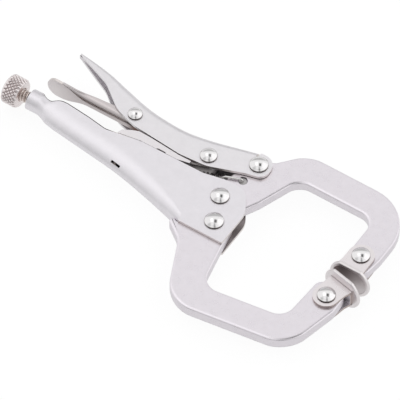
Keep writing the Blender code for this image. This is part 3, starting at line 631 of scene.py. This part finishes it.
# Toggle link
# A thick bar with rounded ends: its eye is riveted between the lever's walls, and its tail bears on the
# tip of the adjusting screw. In line with the lever's rivet, it holds the clamp locked. A cheek on each
# side fills the slit between the closed handles, flush with their walls.
LINK_TAIL = Vector((-47.5, 0.6))
LEVER_ARM = 18.8
LINK_EYE = 4.2
LINK_TOE = 3.0
LINK_EDGE = 0.8
LINK_COLOUR = (0.885, 0.852, 0.872)
# painted shade on the bar between the lever's walls
BAR_SHADE_COLOUR = (0.38, 0.36, 0.36)
ROUND_END = 0.97       # share of a round end that its two corners take up
CHEEK_LOW = 2.45
CHEEK_HIGH = 3.9
CHEEK_EDGE = 0.2
CHEEK = ((-47.6, 3.85, 0.3), (-38.0, 5.38, 2.0), (-31.6, 5.42, 0), (-30.9, 5.95, 0.4), (-27.9, 5.95, 0.4),
         (-27.2, 5.5, 0), (-22.5, 5.55, 1.0), (-17.6, 6.6, 0.5), (-17.6, 7.75, 0.4), (-23.0, 7.7, 12.0),
         (-36.0, 8.72, 12.0), (-41.0, 8.85, 0.6), (-43.8, 7.8, 0.8), (-46.9, 5.95, 0.6))
lock_line = (LINK_TAIL - LEVER_PIVOT).normalized()
LINK_PIVOT = LEVER_PIVOT + LEVER_ARM * lock_line
across = Vector((-lock_line.y, lock_line.x))
corners = []
for middle, radius, end, side in ((LINK_PIVOT, LINK_EYE, -1, -1), (LINK_PIVOT, LINK_EYE, -1, 1),
                                  (LINK_TAIL, LINK_TOE, 1, 1), (LINK_TAIL, LINK_TOE, 1, -1)):
    place = middle + lock_line * end * radius + across * side * radius
    corners.append((place.x, place.y, radius * ROUND_END))
link = blank(corners, -JAW_PLATE / 2, JAW_PLATE / 2)
tumble(link, LINK_EDGE)


def off_middle(tree):
    """Distance from the clamp's middle plane, to either side, in millimetres."""
    return tree.node("Math", {"operation": "ABSOLUTE"}, {0: distance(tree, 2)})


def in_lever(tree):
    """The bar between the lever's walls, painted dark as shade; only its cheeks stay light."""
    return 1 - ease(tree, off_middle(tree), 2.7, 3.2)


link_nickel = nickel("link_nickel", LINK_COLOUR, 0.42, 1.0, 0.05, BAR_SHADE_COLOUR, in_lever)
for side in (1, -1):
    low, high = sorted((side * CHEEK_LOW, side * CHEEK_HIGH))
    cheek = blank(CHEEK, low, high)
    tumble(cheek, CHEEK_EDGE, 2)
    mesh = bpy.data.meshes.new("cheek")
    cheek.to_mesh(mesh)
    cheek.free()
    link.from_mesh(mesh)
    bpy.data.meshes.remove(mesh)
true_faces(fit("toggle_link_bar", link, link_nickel, "link", "toggle_link"))


# Rivets
# Seven round-head steel rivets in six sizes, polished by the setting tool. Each head is a dome on a thin
# rim, and the crevice at the rim is painted dark as shade. The far side has the same head, formed when it
# was set.
SEAT = 0.2             # from the sheet up to the head
RIVET_RIM = 0.45
RIVET_WELD = 0.0005
RIVET_COLOUR = (0.90, 0.885, 0.89)
# painted shade in the crevice under each head
RIM_SHADE_COLOUR = (0.18, 0.15, 0.14)


def rivet(name, centre, shank, head, rise, body, material):
    """A rivet spun from half its outline: dome, rim and shank, the same above and below."""
    shape = bmesh.new()
    seat = CHANNEL_HALF + SEAT
    dome = head / 2 - 0.25
    crown = rise - RIVET_RIM
    ball = (dome * dome + crown * crown) / (2 * crown)
    apex = shape.verts.new((0, 0, seat + rise))
    swept = bmesh.ops.spin(shape, geom=[apex], cent=(0, 0, seat + rise - ball), axis=(0, 1, 0),
                           angle=math.asin(dome / ball), steps=9, use_merge=False)
    foot = [part for part in swept["geom_last"] if isinstance(part, bmesh.types.BMVert)][0]
    rim = head / 2
    for radius, height in ((rim - 0.08, RIVET_RIM - 0.06), (rim, RIVET_RIM - 0.16), (rim, 0.1),
                           (rim - 0.1, 0.0), (shank / 2, 0.0), (shank / 2, -seat)):
        following = shape.verts.new((radius, 0, seat + height))
        shape.edges.new((foot, following))
        foot = following
    bmesh.ops.spin(shape, geom=shape.verts[:] + shape.edges[:], cent=(0, 0, 0), axis=(0, 0, 1),
                   angle=2 * math.pi, steps=56, use_merge=True)
    bmesh.ops.remove_doubles(shape, verts=shape.verts, dist=RIVET_WELD)
    mirror(shape, RIVET_WELD)
    bmesh.ops.translate(shape, verts=shape.verts, vec=(*centre, 0))
    fit(name + "_dome", shape, material, body, name)


FIXED_RIVET = Vector((4.4, -10.7))
RELEASE_PIVOT = Vector((-46.6, 14.4))


def under_rim(tree):
    """Painted shade in the crevice under a rivet's head, on both sides of the clamp."""
    seat = CHANNEL_HALF + SEAT
    return 1 - ease(tree, off_middle(tree), seat + RIVET_RIM * 0.5, seat + RIVET_RIM * 1.1)


rivet_steel = nickel("rivet_steel", RIVET_COLOUR, 0.14, 0.3, 0.03, RIM_SHADE_COLOUR, under_rim)
rivet("jaw_pivot_rivet", Vector((0, 0)), 4.2, 7.1, 1.8, "handle", rivet_steel)
rivet("fixed_jaw_rivet", FIXED_RIVET, 4.2, 7.3, 1.8, "handle", rivet_steel)
rivet("lever_rivet", LEVER_PIVOT, 4.0, 7.1, 1.8, "jaw", rivet_steel)
rivet("link_rivet", LINK_PIVOT, 3.6, 6.5, 1.7, "lever", rivet_steel)
rivet("release_rivet", RELEASE_PIVOT, 2.8, 5.5, 1.5, "lever", rivet_steel)
rivet("movable_pad_rivet", MOVABLE_PAD, 3.8, 6.9, 1.7, "jaw", rivet_steel)
rivet("fixed_pad_rivet", FIXED_PAD, 3.8, 6.9, 1.7, "handle", rivet_steel)


# Adjusting screw
# A threaded steel rod in the handle's neck, with painted shade in its grooves. The thread is cut over its
# whole length, and its tip, which takes the toggle link's tail, is cut off flat.
SCREW_DIAMETER = 4.8
SCREW_REAR = -91.5
SCREW_TIP = -52.3
THREAD_DEPTH = 0.5
SCREW_COLOUR = (0.93, 0.845, 0.80)
# painted shade at the bottom of the thread's grooves
GROOVE_SHADE_COLOUR = (0.46, 0.385, 0.355)
THREAD_PITCH = 1.35
THREAD_STEPS = 20      # to each turn
thread = bmesh.new()
radius = SCREW_DIAMETER / 2
root = radius - THREAD_DEPTH
profile = [thread.verts.new((SCREW_REAR - THREAD_PITCH + THREAD_PITCH * part, SCREW_AXIS, level))
           for part, level in ((0, root), (0.12, root), (0.48, radius), (0.64, radius), (1, root))]
for first, second in zip(profile, profile[1:]):
    thread.edges.new((first, second))
turns = math.ceil((SCREW_TIP - SCREW_REAR) / THREAD_PITCH) + 1
bmesh.ops.spin(thread, geom=thread.verts[:] + thread.edges[:], cent=(0, SCREW_AXIS, 0), axis=(1, 0, 0),
               dvec=(THREAD_PITCH / THREAD_STEPS, 0, 0), angle=2 * math.pi * turns,
               steps=THREAD_STEPS * turns, use_merge=False)
bmesh.ops.remove_doubles(thread, verts=thread.verts, dist=0.002)
for place, way in ((SCREW_REAR, -1), (SCREW_TIP, 1)):
    cut = bmesh.ops.bisect_plane(thread, geom=everything(thread), dist=0.0005, plane_co=(place, 0, 0),
                                 plane_no=(way, 0, 0), clear_outer=True)
    rim = [part for part in cut["geom_cut"] if isinstance(part, bmesh.types.BMEdge)]
    bmesh.ops.contextual_create(thread, geom=rim)
bmesh.ops.recalc_face_normals(thread, faces=thread.faces)
# The deeper in the groove, the more painted shade.
groove = thread.verts.layers.float.new("shade_and_bare")
for vertex in thread.verts:
    depth = radius - Vector((vertex.co.y - SCREW_AXIS, vertex.co.z)).length
    vertex[groove] = min(1.0, depth / THREAD_DEPTH)
screw_steel = nickel("screw_steel", SCREW_COLOUR, 0.34, 1.0, 0.05, GROOVE_SHADE_COLOUR, marked)
fit("adjusting_screw_thread", thread, screw_steel, "screw", "adjusting_screw")


# Adjusting knob
# A turned steel head on the screw, with a diamond knurl rolled round it. Its outer end is a little domed
# and round at the edge, and the face towards the handle is chamfered, and recessed round the screw.
KNOB_DIAMETER = 11.5
KNOB_END = -94.6
KNOB_LENGTH = 6.7
KNOB_ROUND = 1.5
KNOB_CHAMFER = 0.9     # along the knob
CHAMFER_ACROSS = 0.7
KNOB_RECESS = 0.9
KNOB_SOCKET = 3.2
END_RISE = 0.15        # doming of the outer end
KNURL_PITCH = 1.6
KNURL_DEPTH = 0.5
KNURL_STEPS = 300      # round the knob
KNURL_FLANK = 1.2      # how steeply a groove rises to its crest, in shape and then in shade
KNURL_SHADE = 2.2
KNOB_COLOUR = (0.95, 0.88, 0.875)
# painted shade in the knurl's grooves
KNURL_GROOVE_SHADE = (0.30, 0.24, 0.235)
radius = KNOB_DIAMETER / 2
bore = SCREW_DIAMETER / 2 + 0.45
socket = SCREW_DIAMETER / 2 + 0.1
knob = bmesh.new()
rounded = [(radius - KNOB_ROUND * (1 - math.sin(turn)), KNOB_ROUND * (1 - math.cos(turn)) * 0.9 + END_RISE)
           for turn in (0.0, 0.4, 0.8, 1.2, math.pi / 2)]
outline = ((0, 0), *rounded, (radius, KNOB_LENGTH - KNOB_CHAMFER), (radius - CHAMFER_ACROSS, KNOB_LENGTH),
           (bore, KNOB_LENGTH), (bore - 0.3, KNOB_LENGTH - KNOB_RECESS),
           (socket, KNOB_LENGTH - KNOB_RECESS), (socket, KNOB_LENGTH - KNOB_SOCKET),
           (0, KNOB_LENGTH - KNOB_SOCKET))
points = [knob.verts.new((KNOB_END + length, SCREW_AXIS, reach)) for reach, length in outline]
edges = [knob.edges.new(pair) for pair in zip(points, points[1:])]
bmesh.ops.subdivide_edges(knob, edges=[edges[len(rounded)]], cuts=34)
bmesh.ops.spin(knob, geom=knob.verts[:] + knob.edges[:], cent=(0, SCREW_AXIS, 0), axis=(1, 0, 0),
               angle=2 * math.pi, steps=KNURL_STEPS, use_merge=True)
bmesh.ops.remove_doubles(knob, verts=knob.verts, dist=0.001)
teeth = round(math.pi * KNOB_DIAMETER / KNURL_PITCH)
# The lower on a groove's flank, the more painted shade.
groove = knob.verts.layers.float.new("shade_and_bare")
for vertex in knob.verts:
    spoke = Vector((vertex.co.y - SCREW_AXIS, vertex.co.z))
    if spoke.length > radius - 0.05:
        turn = math.atan2(spoke.y, spoke.x) / (2 * math.pi) * teeth
        step = (vertex.co.x - KNOB_END) / KNURL_PITCH
        ridge = min(abs((turn + way * step) % 1 - 0.5) * 2 for way in (1, -1))
        vertex[groove] = 1 - min(1.0, ridge * KNURL_SHADE)
        spoke *= (radius - KNURL_DEPTH + KNURL_DEPTH * min(1.0, ridge * KNURL_FLANK)) / spoke.length
        vertex.co.y = SCREW_AXIS + spoke.x
        vertex.co.z = spoke.y
bmesh.ops.recalc_face_normals(knob, faces=knob.faces)
knob_steel = nickel("knob_steel", KNOB_COLOUR, 0.32, 1.0, 0.05, KNURL_GROOVE_SHADE, marked)
fit("adjusting_knob_knurled", knob, knob_steel, "knob", "adjusting_knob")


# Release lever
# A small lever pressed from thinner sheet, riveted inside the lever handle. Its paddle sits under the
# lever's tail, two low flanges stiffen it and carry the rivet, and its nose is bent down over the link.
RELEASE_SHEET = 1.0
PADDLE_FACE = 11.0
PADDLE_END = -83.0
PADDLE_HALF = 4.75
RELEASE_NOSE = -37.0
NOSE_LENGTH = 4.0
NOSE_HALF = 2.3
NOSE_ROUND = 0.8
NOSE_DROP = 1.5
RELEASE_EAR = 3.2
FLANGE_END = -42.9
FOLD_STEPS = 6
RELEASE_COLOUR = (0.81, 0.765, 0.77)
RELEASE_SHADE = (0.13, 0.065, 0.05)
RELEASE_FOLD = ((-76.5, 4.65, 0.3, 1.0), (-73.5, 4.1, 0.6, 1.25), (-70.5, 3.25, 1.3, 1.75),
                (-67.5, 2.7, 2.0, 2.3), (-63.4, 2.6, 2.2, 2.9), (-57.2, 2.6, 2.2, 3.4),
                (-49.8, 2.6, 2.2, 4.2), (-43.4, 2.6, 2.0, 3.4),
                (-42.0, 2.6, 1.5, 1.6))   # x, half width, bend radius and height of the flanges


def flange_top(x):
    """Height of the flanges above the paddle's face: a ramp that runs up into the round ears."""
    ramp = along(RELEASE_FOLD, x)[2]
    apart = abs(x - RELEASE_PIVOT.x)
    if apart >= RELEASE_EAR:
        return ramp
    return max(ramp, RELEASE_PIVOT.y - PADDLE_FACE + math.sqrt(RELEASE_EAR**2 - apart**2))


fold_x = [RELEASE_FOLD[0][0] + 0.9 * step for step in range(30)]
fold_x += [RELEASE_PIVOT.x - RELEASE_EAR * math.cos(math.pi * step / 14) for step in range(15)]
fold_x += [FLANGE_END, RELEASE_FOLD[-1][0]]
fold_line = []
for x in reversed(fold_x):
    half, bend, height = along(RELEASE_FOLD, x)
    fold_line.append((x, half - bend, 0))
release, kept = panel((
    (PADDLE_END, 0, 0), (RELEASE_NOSE, 0, 0), (RELEASE_NOSE, NOSE_HALF, NOSE_ROUND),
    (RELEASE_NOSE - NOSE_LENGTH, NOSE_HALF, NOSE_ROUND), *fold_line,
    (PADDLE_END, PADDLE_HALF, PADDLE_HALF * 0.9)), 0)
fold_verts = kept[2:2 + len(fold_x)]
line = [release.edges.get(pair) for pair in zip(fold_verts, fold_verts[1:])]
for step in range(1, FOLD_STEPS + 2):
    fresh, line = new_edge(release, line)
    angle = min(step, FOLD_STEPS) / FOLD_STEPS * math.pi / 2
    for vertex in fresh:
        half, bend, height = along(RELEASE_FOLD, vertex.co.x)
        vertex.co.y = half - bend + bend * math.sin(angle)
        vertex.co.z = bend * (1 - math.cos(angle)) if step <= FOLD_STEPS else flange_top(vertex.co.x)
stand = Matrix(((1, 0, 0, 0), (0, 0, 1, PADDLE_FACE), (0, 1, 0, 0), (0, 0, 0, 1)))
bmesh.ops.transform(release, matrix=stand, verts=release.verts)
bmesh.ops.bisect_plane(release, geom=everything(release), dist=0.01, plane_no=(1, 0, 0),
                       plane_co=(RELEASE_NOSE - NOSE_LENGTH, 0, 0))
for vertex in release.verts:
    vertex.co.y -= max(0.0, vertex.co.x - RELEASE_NOSE + NOSE_LENGTH) / NOSE_LENGTH * NOSE_DROP
mirror(release)
widest = max(release.faces, key=lambda face: face.calc_area())
if widest.normal.y > 0:
    bmesh.ops.reverse_faces(release, faces=release.faces)


def shaded(tree):
    """Painted shade: brown towards the lever, almost black where the floor runs into it and at the nose."""
    forward = distance(tree, 0)
    floor = 1 - ease(tree, distance(tree, 1), PADDLE_FACE + 0.1, PADDLE_FACE + 0.9)
    brown = ease(tree, forward, -82.0, -68.0) * 0.22 + ease(tree, forward, -70.5, -60.0) * floor * 0.05
    return brown + ease(tree, forward, -49.0, -44.5) * 0.7


release_nickel = nickel("release_nickel", RELEASE_COLOUR, 0.34, 1.0, 0.05, RELEASE_SHADE, shaded)
release_piece = fit("release_lever_paddle", release, release_nickel, "release", "release_lever")
deburr(thicken(release_piece, RELEASE_SHEET, edge_steel, release_nickel))


# Swivel pads
# Each arm's tip carries a U saddle of pressed sheet on a rivet, and under it a round steel foot with two
# flats. Saddle and foot tilt together, so that the foot lies flat on the work. Its contact face is sunk
# a little inside a rim, and painted dark as shade.
EAR_RADIUS = 5.0
EAR_FLARE = 0.6
FLARE_RISE = 3.0
SADDLE_BACK = 7.75
SADDLE_BEND = 0.5
SADDLE_STEPS = 5
SADDLE_DEBURR = 0.5
FOOT_RADIUS = 8.4
FOOT_FLAT = 7.2
FOOT_BACK = 7.8
FOOT_THICK = 1.4
FOOT_EDGE = 0.45
FOOT_DISH = 0.25       # how far the contact face is sunk inside its rim
FOOT_RIM = 0.8
DISH_SLOPE = 0.15
FOOT_SHIFT = 0.8       # of the upper foot, away from the throat
FIXED_TILT = 180.0 - 11.5
SADDLE_COLOUR = (0.845, 0.80, 0.81)
FOOT_COLOUR = (0.86, 0.82, 0.825)
# painted shade on the contact face
FACE_SHADE_COLOUR = (0.12, 0.072, 0.07)
# painted shade on the saddles' cut edges, drawing their dark contour
PAD_EDGE_SHADE = (0.50, 0.425, 0.40)


def shaded_face(tree):
    """Painted shade on the contact face: black at its inner end, lighter towards its outer end."""
    return marked(tree) * (1 - ease(tree, distance(tree, 0), 49.0, 64.0) * 0.75)


# The saddles' cut edges, darkened: painted shade.
pad_edge_shade = nickel("pad_edge_shade", PAD_EDGE_SHADE, 0.36)
pad_nickel = nickel("pad_nickel", SADDLE_COLOUR, 0.28, 0.7, tumbled=3.0)
foot_nickel = nickel("foot_nickel", FOOT_COLOUR, 0.36, 1.0, 0.05, FACE_SHADE_COLOUR, shaded_face)


def swivel_pad(name, centre, tilt, shift, body):
    """A saddle and its foot, drawn under the rivet and turned to the way the pad rests."""
    turn = Matrix.Translation((*centre, 0)) @ Matrix.Rotation(math.radians(tilt), 4, "Z")
    low = SADDLE_BEND - SADDLE_BACK
    saddle, kept = panel((
        (-EAR_RADIUS - EAR_FLARE, low, 0), (EAR_RADIUS, low, 0),
        (EAR_RADIUS, EAR_RADIUS, EAR_RADIUS * ROUND_END), (-EAR_RADIUS, EAR_RADIUS, EAR_RADIUS * ROUND_END),
        (-EAR_RADIUS, low + FLARE_RISE, FLARE_RISE)), CHANNEL_HALF)
    line = [saddle.edges.get(kept)]
    for step in range(1, SADDLE_STEPS + 2):
        fresh, line = new_edge(saddle, line)
        angle = min(step, SADDLE_STEPS) / SADDLE_STEPS * math.pi / 2
        for vertex in fresh:
            vertex.co.y = -SADDLE_BACK + SADDLE_BEND * (1 - math.sin(angle))
            vertex.co.z = CHANNEL_HALF - SADDLE_BEND * (1 - math.cos(angle))
            if step > SADDLE_STEPS:
                vertex.co.z = 0.0
    join(saddle)
    bmesh.ops.transform(saddle, matrix=turn, verts=saddle.verts)
    bracket = fit(name + "_saddle_bracket", saddle, pad_nickel, body, name + "_saddle")
    deburr(thicken(bracket, SHEET, pad_edge_shade, inside_shade_nickel), SADDLE_DEBURR, 0)
    foot = bmesh.new()
    bmesh.ops.create_circle(foot, cap_ends=True, segments=72, radius=FOOT_RADIUS)
    for way in (1, -1):
        bmesh.ops.bisect_plane(foot, geom=everything(foot), dist=0.001, plane_co=(0, way * FOOT_FLAT, 0),
                               plane_no=(0, way, 0), clear_outer=True)
    grown = bmesh.ops.extrude_face_region(foot, geom=foot.faces[:])["geom"]
    raised = [part for part in grown if isinstance(part, bmesh.types.BMVert)]
    bmesh.ops.translate(foot, verts=raised, vec=(0, 0, FOOT_THICK))
    bmesh.ops.recalc_face_normals(foot, faces=foot.faces)
    tumble(foot, FOOT_EDGE)
    shade_and_bare = foot.verts.layers.float.new("shade_and_bare")
    faces = [max(foot.faces, key=lambda face: face.calc_area() * face.normal.z)]
    bmesh.ops.inset_individual(foot, faces=faces, thickness=FOOT_RIM, use_even_offset=True)
    bmesh.ops.inset_individual(foot, faces=faces, thickness=DISH_SLOPE, depth=-FOOT_DISH,
                               use_even_offset=True)
    # The contact face is marked for painted shade.
    for face in faces:
        for vertex in face.verts:
            vertex[shade_and_bare] = 1.0
    upright = Matrix.Translation((shift, -FOOT_BACK, 0)) @ Matrix.Rotation(math.pi / 2, 4, "X")
    bmesh.ops.transform(foot, matrix=turn @ upright, verts=foot.verts)
    true_faces(fit(name + "_foot_disc", foot, foot_nickel, body, name + "_foot"))


swivel_pad("movable_pad", MOVABLE_PAD, 0.0, FOOT_SHIFT, "upper_pad")
swivel_pad("fixed_pad", FIXED_PAD, FIXED_TILT, 0.0, "lower_pad")


# Return spring
# Wound from bright spring wire, and drawn out a little while the clamp is closed. The rear hook holds on
# the tab in the handle's spine, and the front leg runs over the movable jaw and hooks into its hole, so
# that the jaws spring open.
WIRE = 0.9
COIL_GAP = 0.55
FRONT_LEG = 8.8
REAR_LEG = 8.0
HOOK_DEPTH = 4.4
SPRING_RADIUS = JAW_PLATE / 2 - WIRE / 2
CURL_POINTS = 28       # to each turn
WIRE_COLOUR = (0.80, 0.79, 0.78)
# painted shade on the turns between the handles
WIRE_SHADE_COLOUR = (0.17, 0.16, 0.16)


def spring_route():
    """The wire's centre line: tab hook, turns, then the leg over the jaw and into its hole."""
    lie = SPRING_HOLE - SPRING_TAB
    length = lie.length
    lie.normalize()
    rise = Vector((-lie.y, lie.x))

    def spot(forward, sideways, height):
        place = SPRING_TAB + lie * forward + rise * sideways
        return Vector((place.x, place.y, height))

    route = [spot(2.4, 0, -SPRING_RADIUS), spot(1.2, 0, -SPRING_RADIUS)]
    for step in range(17):
        angle = math.pi * step / 16
        route.append(spot(-SPRING_RADIUS * math.sin(angle), 0, -SPRING_RADIUS * math.cos(angle)))
    route += [spot(REAR_LEG * 0.35, 0, SPRING_RADIUS), spot(REAR_LEG * 0.7, 0, SPRING_RADIUS)]
    coil = length - FRONT_LEG - REAR_LEG
    turns = int(coil / (WIRE + COIL_GAP))
    for step in range(turns * CURL_POINTS + 1):
        angle = 2 * math.pi * step / CURL_POINTS
        forward = REAR_LEG + coil * step / (turns * CURL_POINTS)
        route.append(spot(forward, -SPRING_RADIUS * math.sin(angle), SPRING_RADIUS * math.cos(angle)))
    over = JAW_PLATE / 2 + 0.3 + WIRE / 2
    lead = length - FRONT_LEG
    route.append(spot(lead + 1.2, 0, SPRING_RADIUS + 0.25))
    route += [spot(lead + 2.4, 0, over), spot(lead + 5.0, 0, over)]
    for step in range(9):
        angle = math.pi / 2 * step / 8
        route.append(spot(length - 1 + math.sin(angle), 0, over - 1 + math.cos(angle)))
    route.append(spot(length, 0, over - HOOK_DEPTH))
    return route


def shaded_turns(tree):
    """The turns between the handles, painted dark as shade; the front leg stays bright."""
    return 1 - ease(tree, distance(tree, 0), -6.0, -3.5)


wire = bpy.data.curves.new("return_spring_wire", "CURVE")
wire.dimensions = "3D"
wire.bevel_depth = WIRE / 2 * MM
wire.bevel_resolution = 3
wire.use_fill_caps = True
spline = wire.splines.new("POLY")
route = spring_route()
spline.points.add(len(route) - 1)
for point, place in zip(spline.points, route):
    point.co = (*(PLAN @ place), 1.0)
drawn = bpy.data.objects.new("return_spring_wire", wire)
bpy.context.scene.collection.objects.link(drawn)
coiled = bpy.data.meshes.new_from_object(drawn.evaluated_get(bpy.context.evaluated_depsgraph_get()))
bpy.data.objects.remove(drawn)
bpy.data.curves.remove(wire)
coiled.materials.clear()
coiled.materials.append(nickel("spring_wire", WIRE_COLOUR, 0.26, 0.5, 0.05, WIRE_SHADE_COLOUR, shaded_turns))
coiled.shade_smooth()
spring = bpy.data.objects.new("return_spring_coil", coiled)
bpy.context.scene.collection.objects.link(spring)
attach(spring, "handle")
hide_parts("return_spring")
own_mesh(spring)


# Studio
# A pale seamless floor under a soft white tent, with a brighter panel on the left and on the right. The
# gap between them, the slit for the camera, and the darker ends and corner of the tent draw the dark
# streaks on the rivets and shade the rounded edges.
AZIMUTH = math.radians(33.3)
ELEVATION = math.radians(53.0)
PIXELS_PER_MM = 2.74
LENS = 1000.0
SENSOR = 36.0
FRAME_PIXELS = 400
PIVOT_PIXEL = (220.0, 202.7)
FLOOR_SIZE = 8.0
FLOOR_GAP = 0.0001
PAPER_GLOW = 0.79      # the paper's own light, and what the camera sees beyond it
PAPER_SEEN = 0.26
PAPER_SHARE = 0.86     # share of that light in the paper; the rest takes the clamp's shadow
TENT = 0.915
LEFT_GLOW = 0.40
RIGHT_GLOW = 0.20
BACK_DARK = 0.40
FRONT_DARK = 0.38
CORNER_DARK = 0.30
GAP_DARK = 0.80
SLIT_DARK = 0.50


def window(tree, value, low, high, soft):
    """One between two values, fading to nothing over a soft edge."""
    return ease(tree, value, low - soft, low + soft) * (1 - ease(tree, value, high - soft, high + soft))


floor_mesh = bmesh.new()
bmesh.ops.create_grid(floor_mesh, x_segments=1, y_segments=1, size=FLOOR_SIZE / 2)
bmesh.ops.translate(floor_mesh, verts=floor_mesh.verts, vec=(0, 0, cad_box[0].z - FLOOR_GAP))
mesh = bpy.data.meshes.new("studio_floor")
floor_mesh.to_mesh(mesh)
floor_mesh.free()
paper = bpy.data.materials.new("studio_paper")
paper.use_nodes = True
paper.node_tree.nodes.clear()
tree = Signal(paper.node_tree)
matt = tree.node("BsdfDiffuse", {}, {"Color": (0.95, 0.95, 0.95, 1.0)})
seen = tree.node("LightPath", {}, {}, "Is Camera Ray")
glow = tree.node("Emission", {}, {"Color": (1.0, 1.0, 1.0, 1.0),
                                  "Strength": PAPER_GLOW + seen * PAPER_SEEN})
lit = tree.node("MixShader", {}, {0: PAPER_SHARE, 1: matt, 2: glow})
tree.node("OutputMaterial", {}, {"Surface": lit})
mesh.materials.append(paper)
floor = bpy.data.objects.new("studio_floor", mesh)
bpy.context.scene.collection.objects.link(floor)

right = Vector((math.cos(AZIMUTH), math.sin(AZIMUTH), 0))
towards = Vector((math.sin(AZIMUTH) * math.cos(ELEVATION), -math.cos(AZIMUTH) * math.cos(ELEVATION),
                  math.sin(ELEVATION)))
upward = towards.cross(right)

world = bpy.data.worlds.new("studio_tent")
world.use_nodes = True
world.node_tree.nodes.clear()
bpy.context.scene.world = world
tree = Signal(world.node_tree)
way = tree.node("TexCoord", {}, {}, "Generated")
path = tree.node("LightPath", {}, {}, "Is Camera Ray")
level = Vector((towards.x, towards.y, 0)).normalized()
sideways = tree.node("VectorMath", {"operation": "DOT_PRODUCT"}, {0: way, 1: right}, "Value")
front = tree.node("VectorMath", {"operation": "DOT_PRODUCT"}, {0: way, 1: level}, "Value")
left_panel = window(tree, sideways, -0.44, -0.10, 0.10) * window(tree, front, -0.52, 0.02, 0.12)
right_panel = window(tree, sideways, 0.48, 1.10, 0.08) * window(tree, front, -0.55, 0.35, 0.15)
behind = window(tree, front, -1.50, -0.82, 0.08)
corner = window(tree, sideways, -1.50, -0.46, 0.12) * window(tree, front, 0.10, 1.50, 0.12)
before = window(tree, front, 0.62, 1.50, 0.10)
gap = window(tree, sideways, 0.03, 0.36, 0.05) * window(tree, front, -0.34, 0.16, 0.07)
slit = window(tree, sideways, -0.02, 0.20, 0.05) * window(tree, front, 0.25, 1.50, 0.08)
dark = corner * CORNER_DARK + gap * GAP_DARK + slit * SLIT_DARK + behind * BACK_DARK + before * FRONT_DARK
tent = TENT + left_panel * LEFT_GLOW + right_panel * RIGHT_GLOW - dark
strength = path + (1 - path) * tent
sky = tree.node("Background", {}, {"Color": (1.0, 1.0, 1.0, 1.0), "Strength": strength})
tree.node("OutputWorld", {}, {"Surface": sky})

lens = bpy.data.cameras.new("camera")
lens.sensor_width = SENSOR
lens.lens = LENS
camera = bpy.data.objects.new("camera", lens)
bpy.context.scene.collection.objects.link(camera)
aim = MIDDLE + (right * (FRAME_PIXELS / 2 - PIVOT_PIXEL[0])
                - upward * (FRAME_PIXELS / 2 - PIVOT_PIXEL[1])) / PIXELS_PER_MM * MM
camera.location = aim + towards * (FRAME_PIXELS / PIXELS_PER_MM * MM * LENS / SENSOR)
camera.rotation_euler = (-towards).to_track_quat("-Z", "Y").to_euler()
bpy.context.scene.camera = camera
bpy.context.scene.view_settings.view_transform = "Standard"
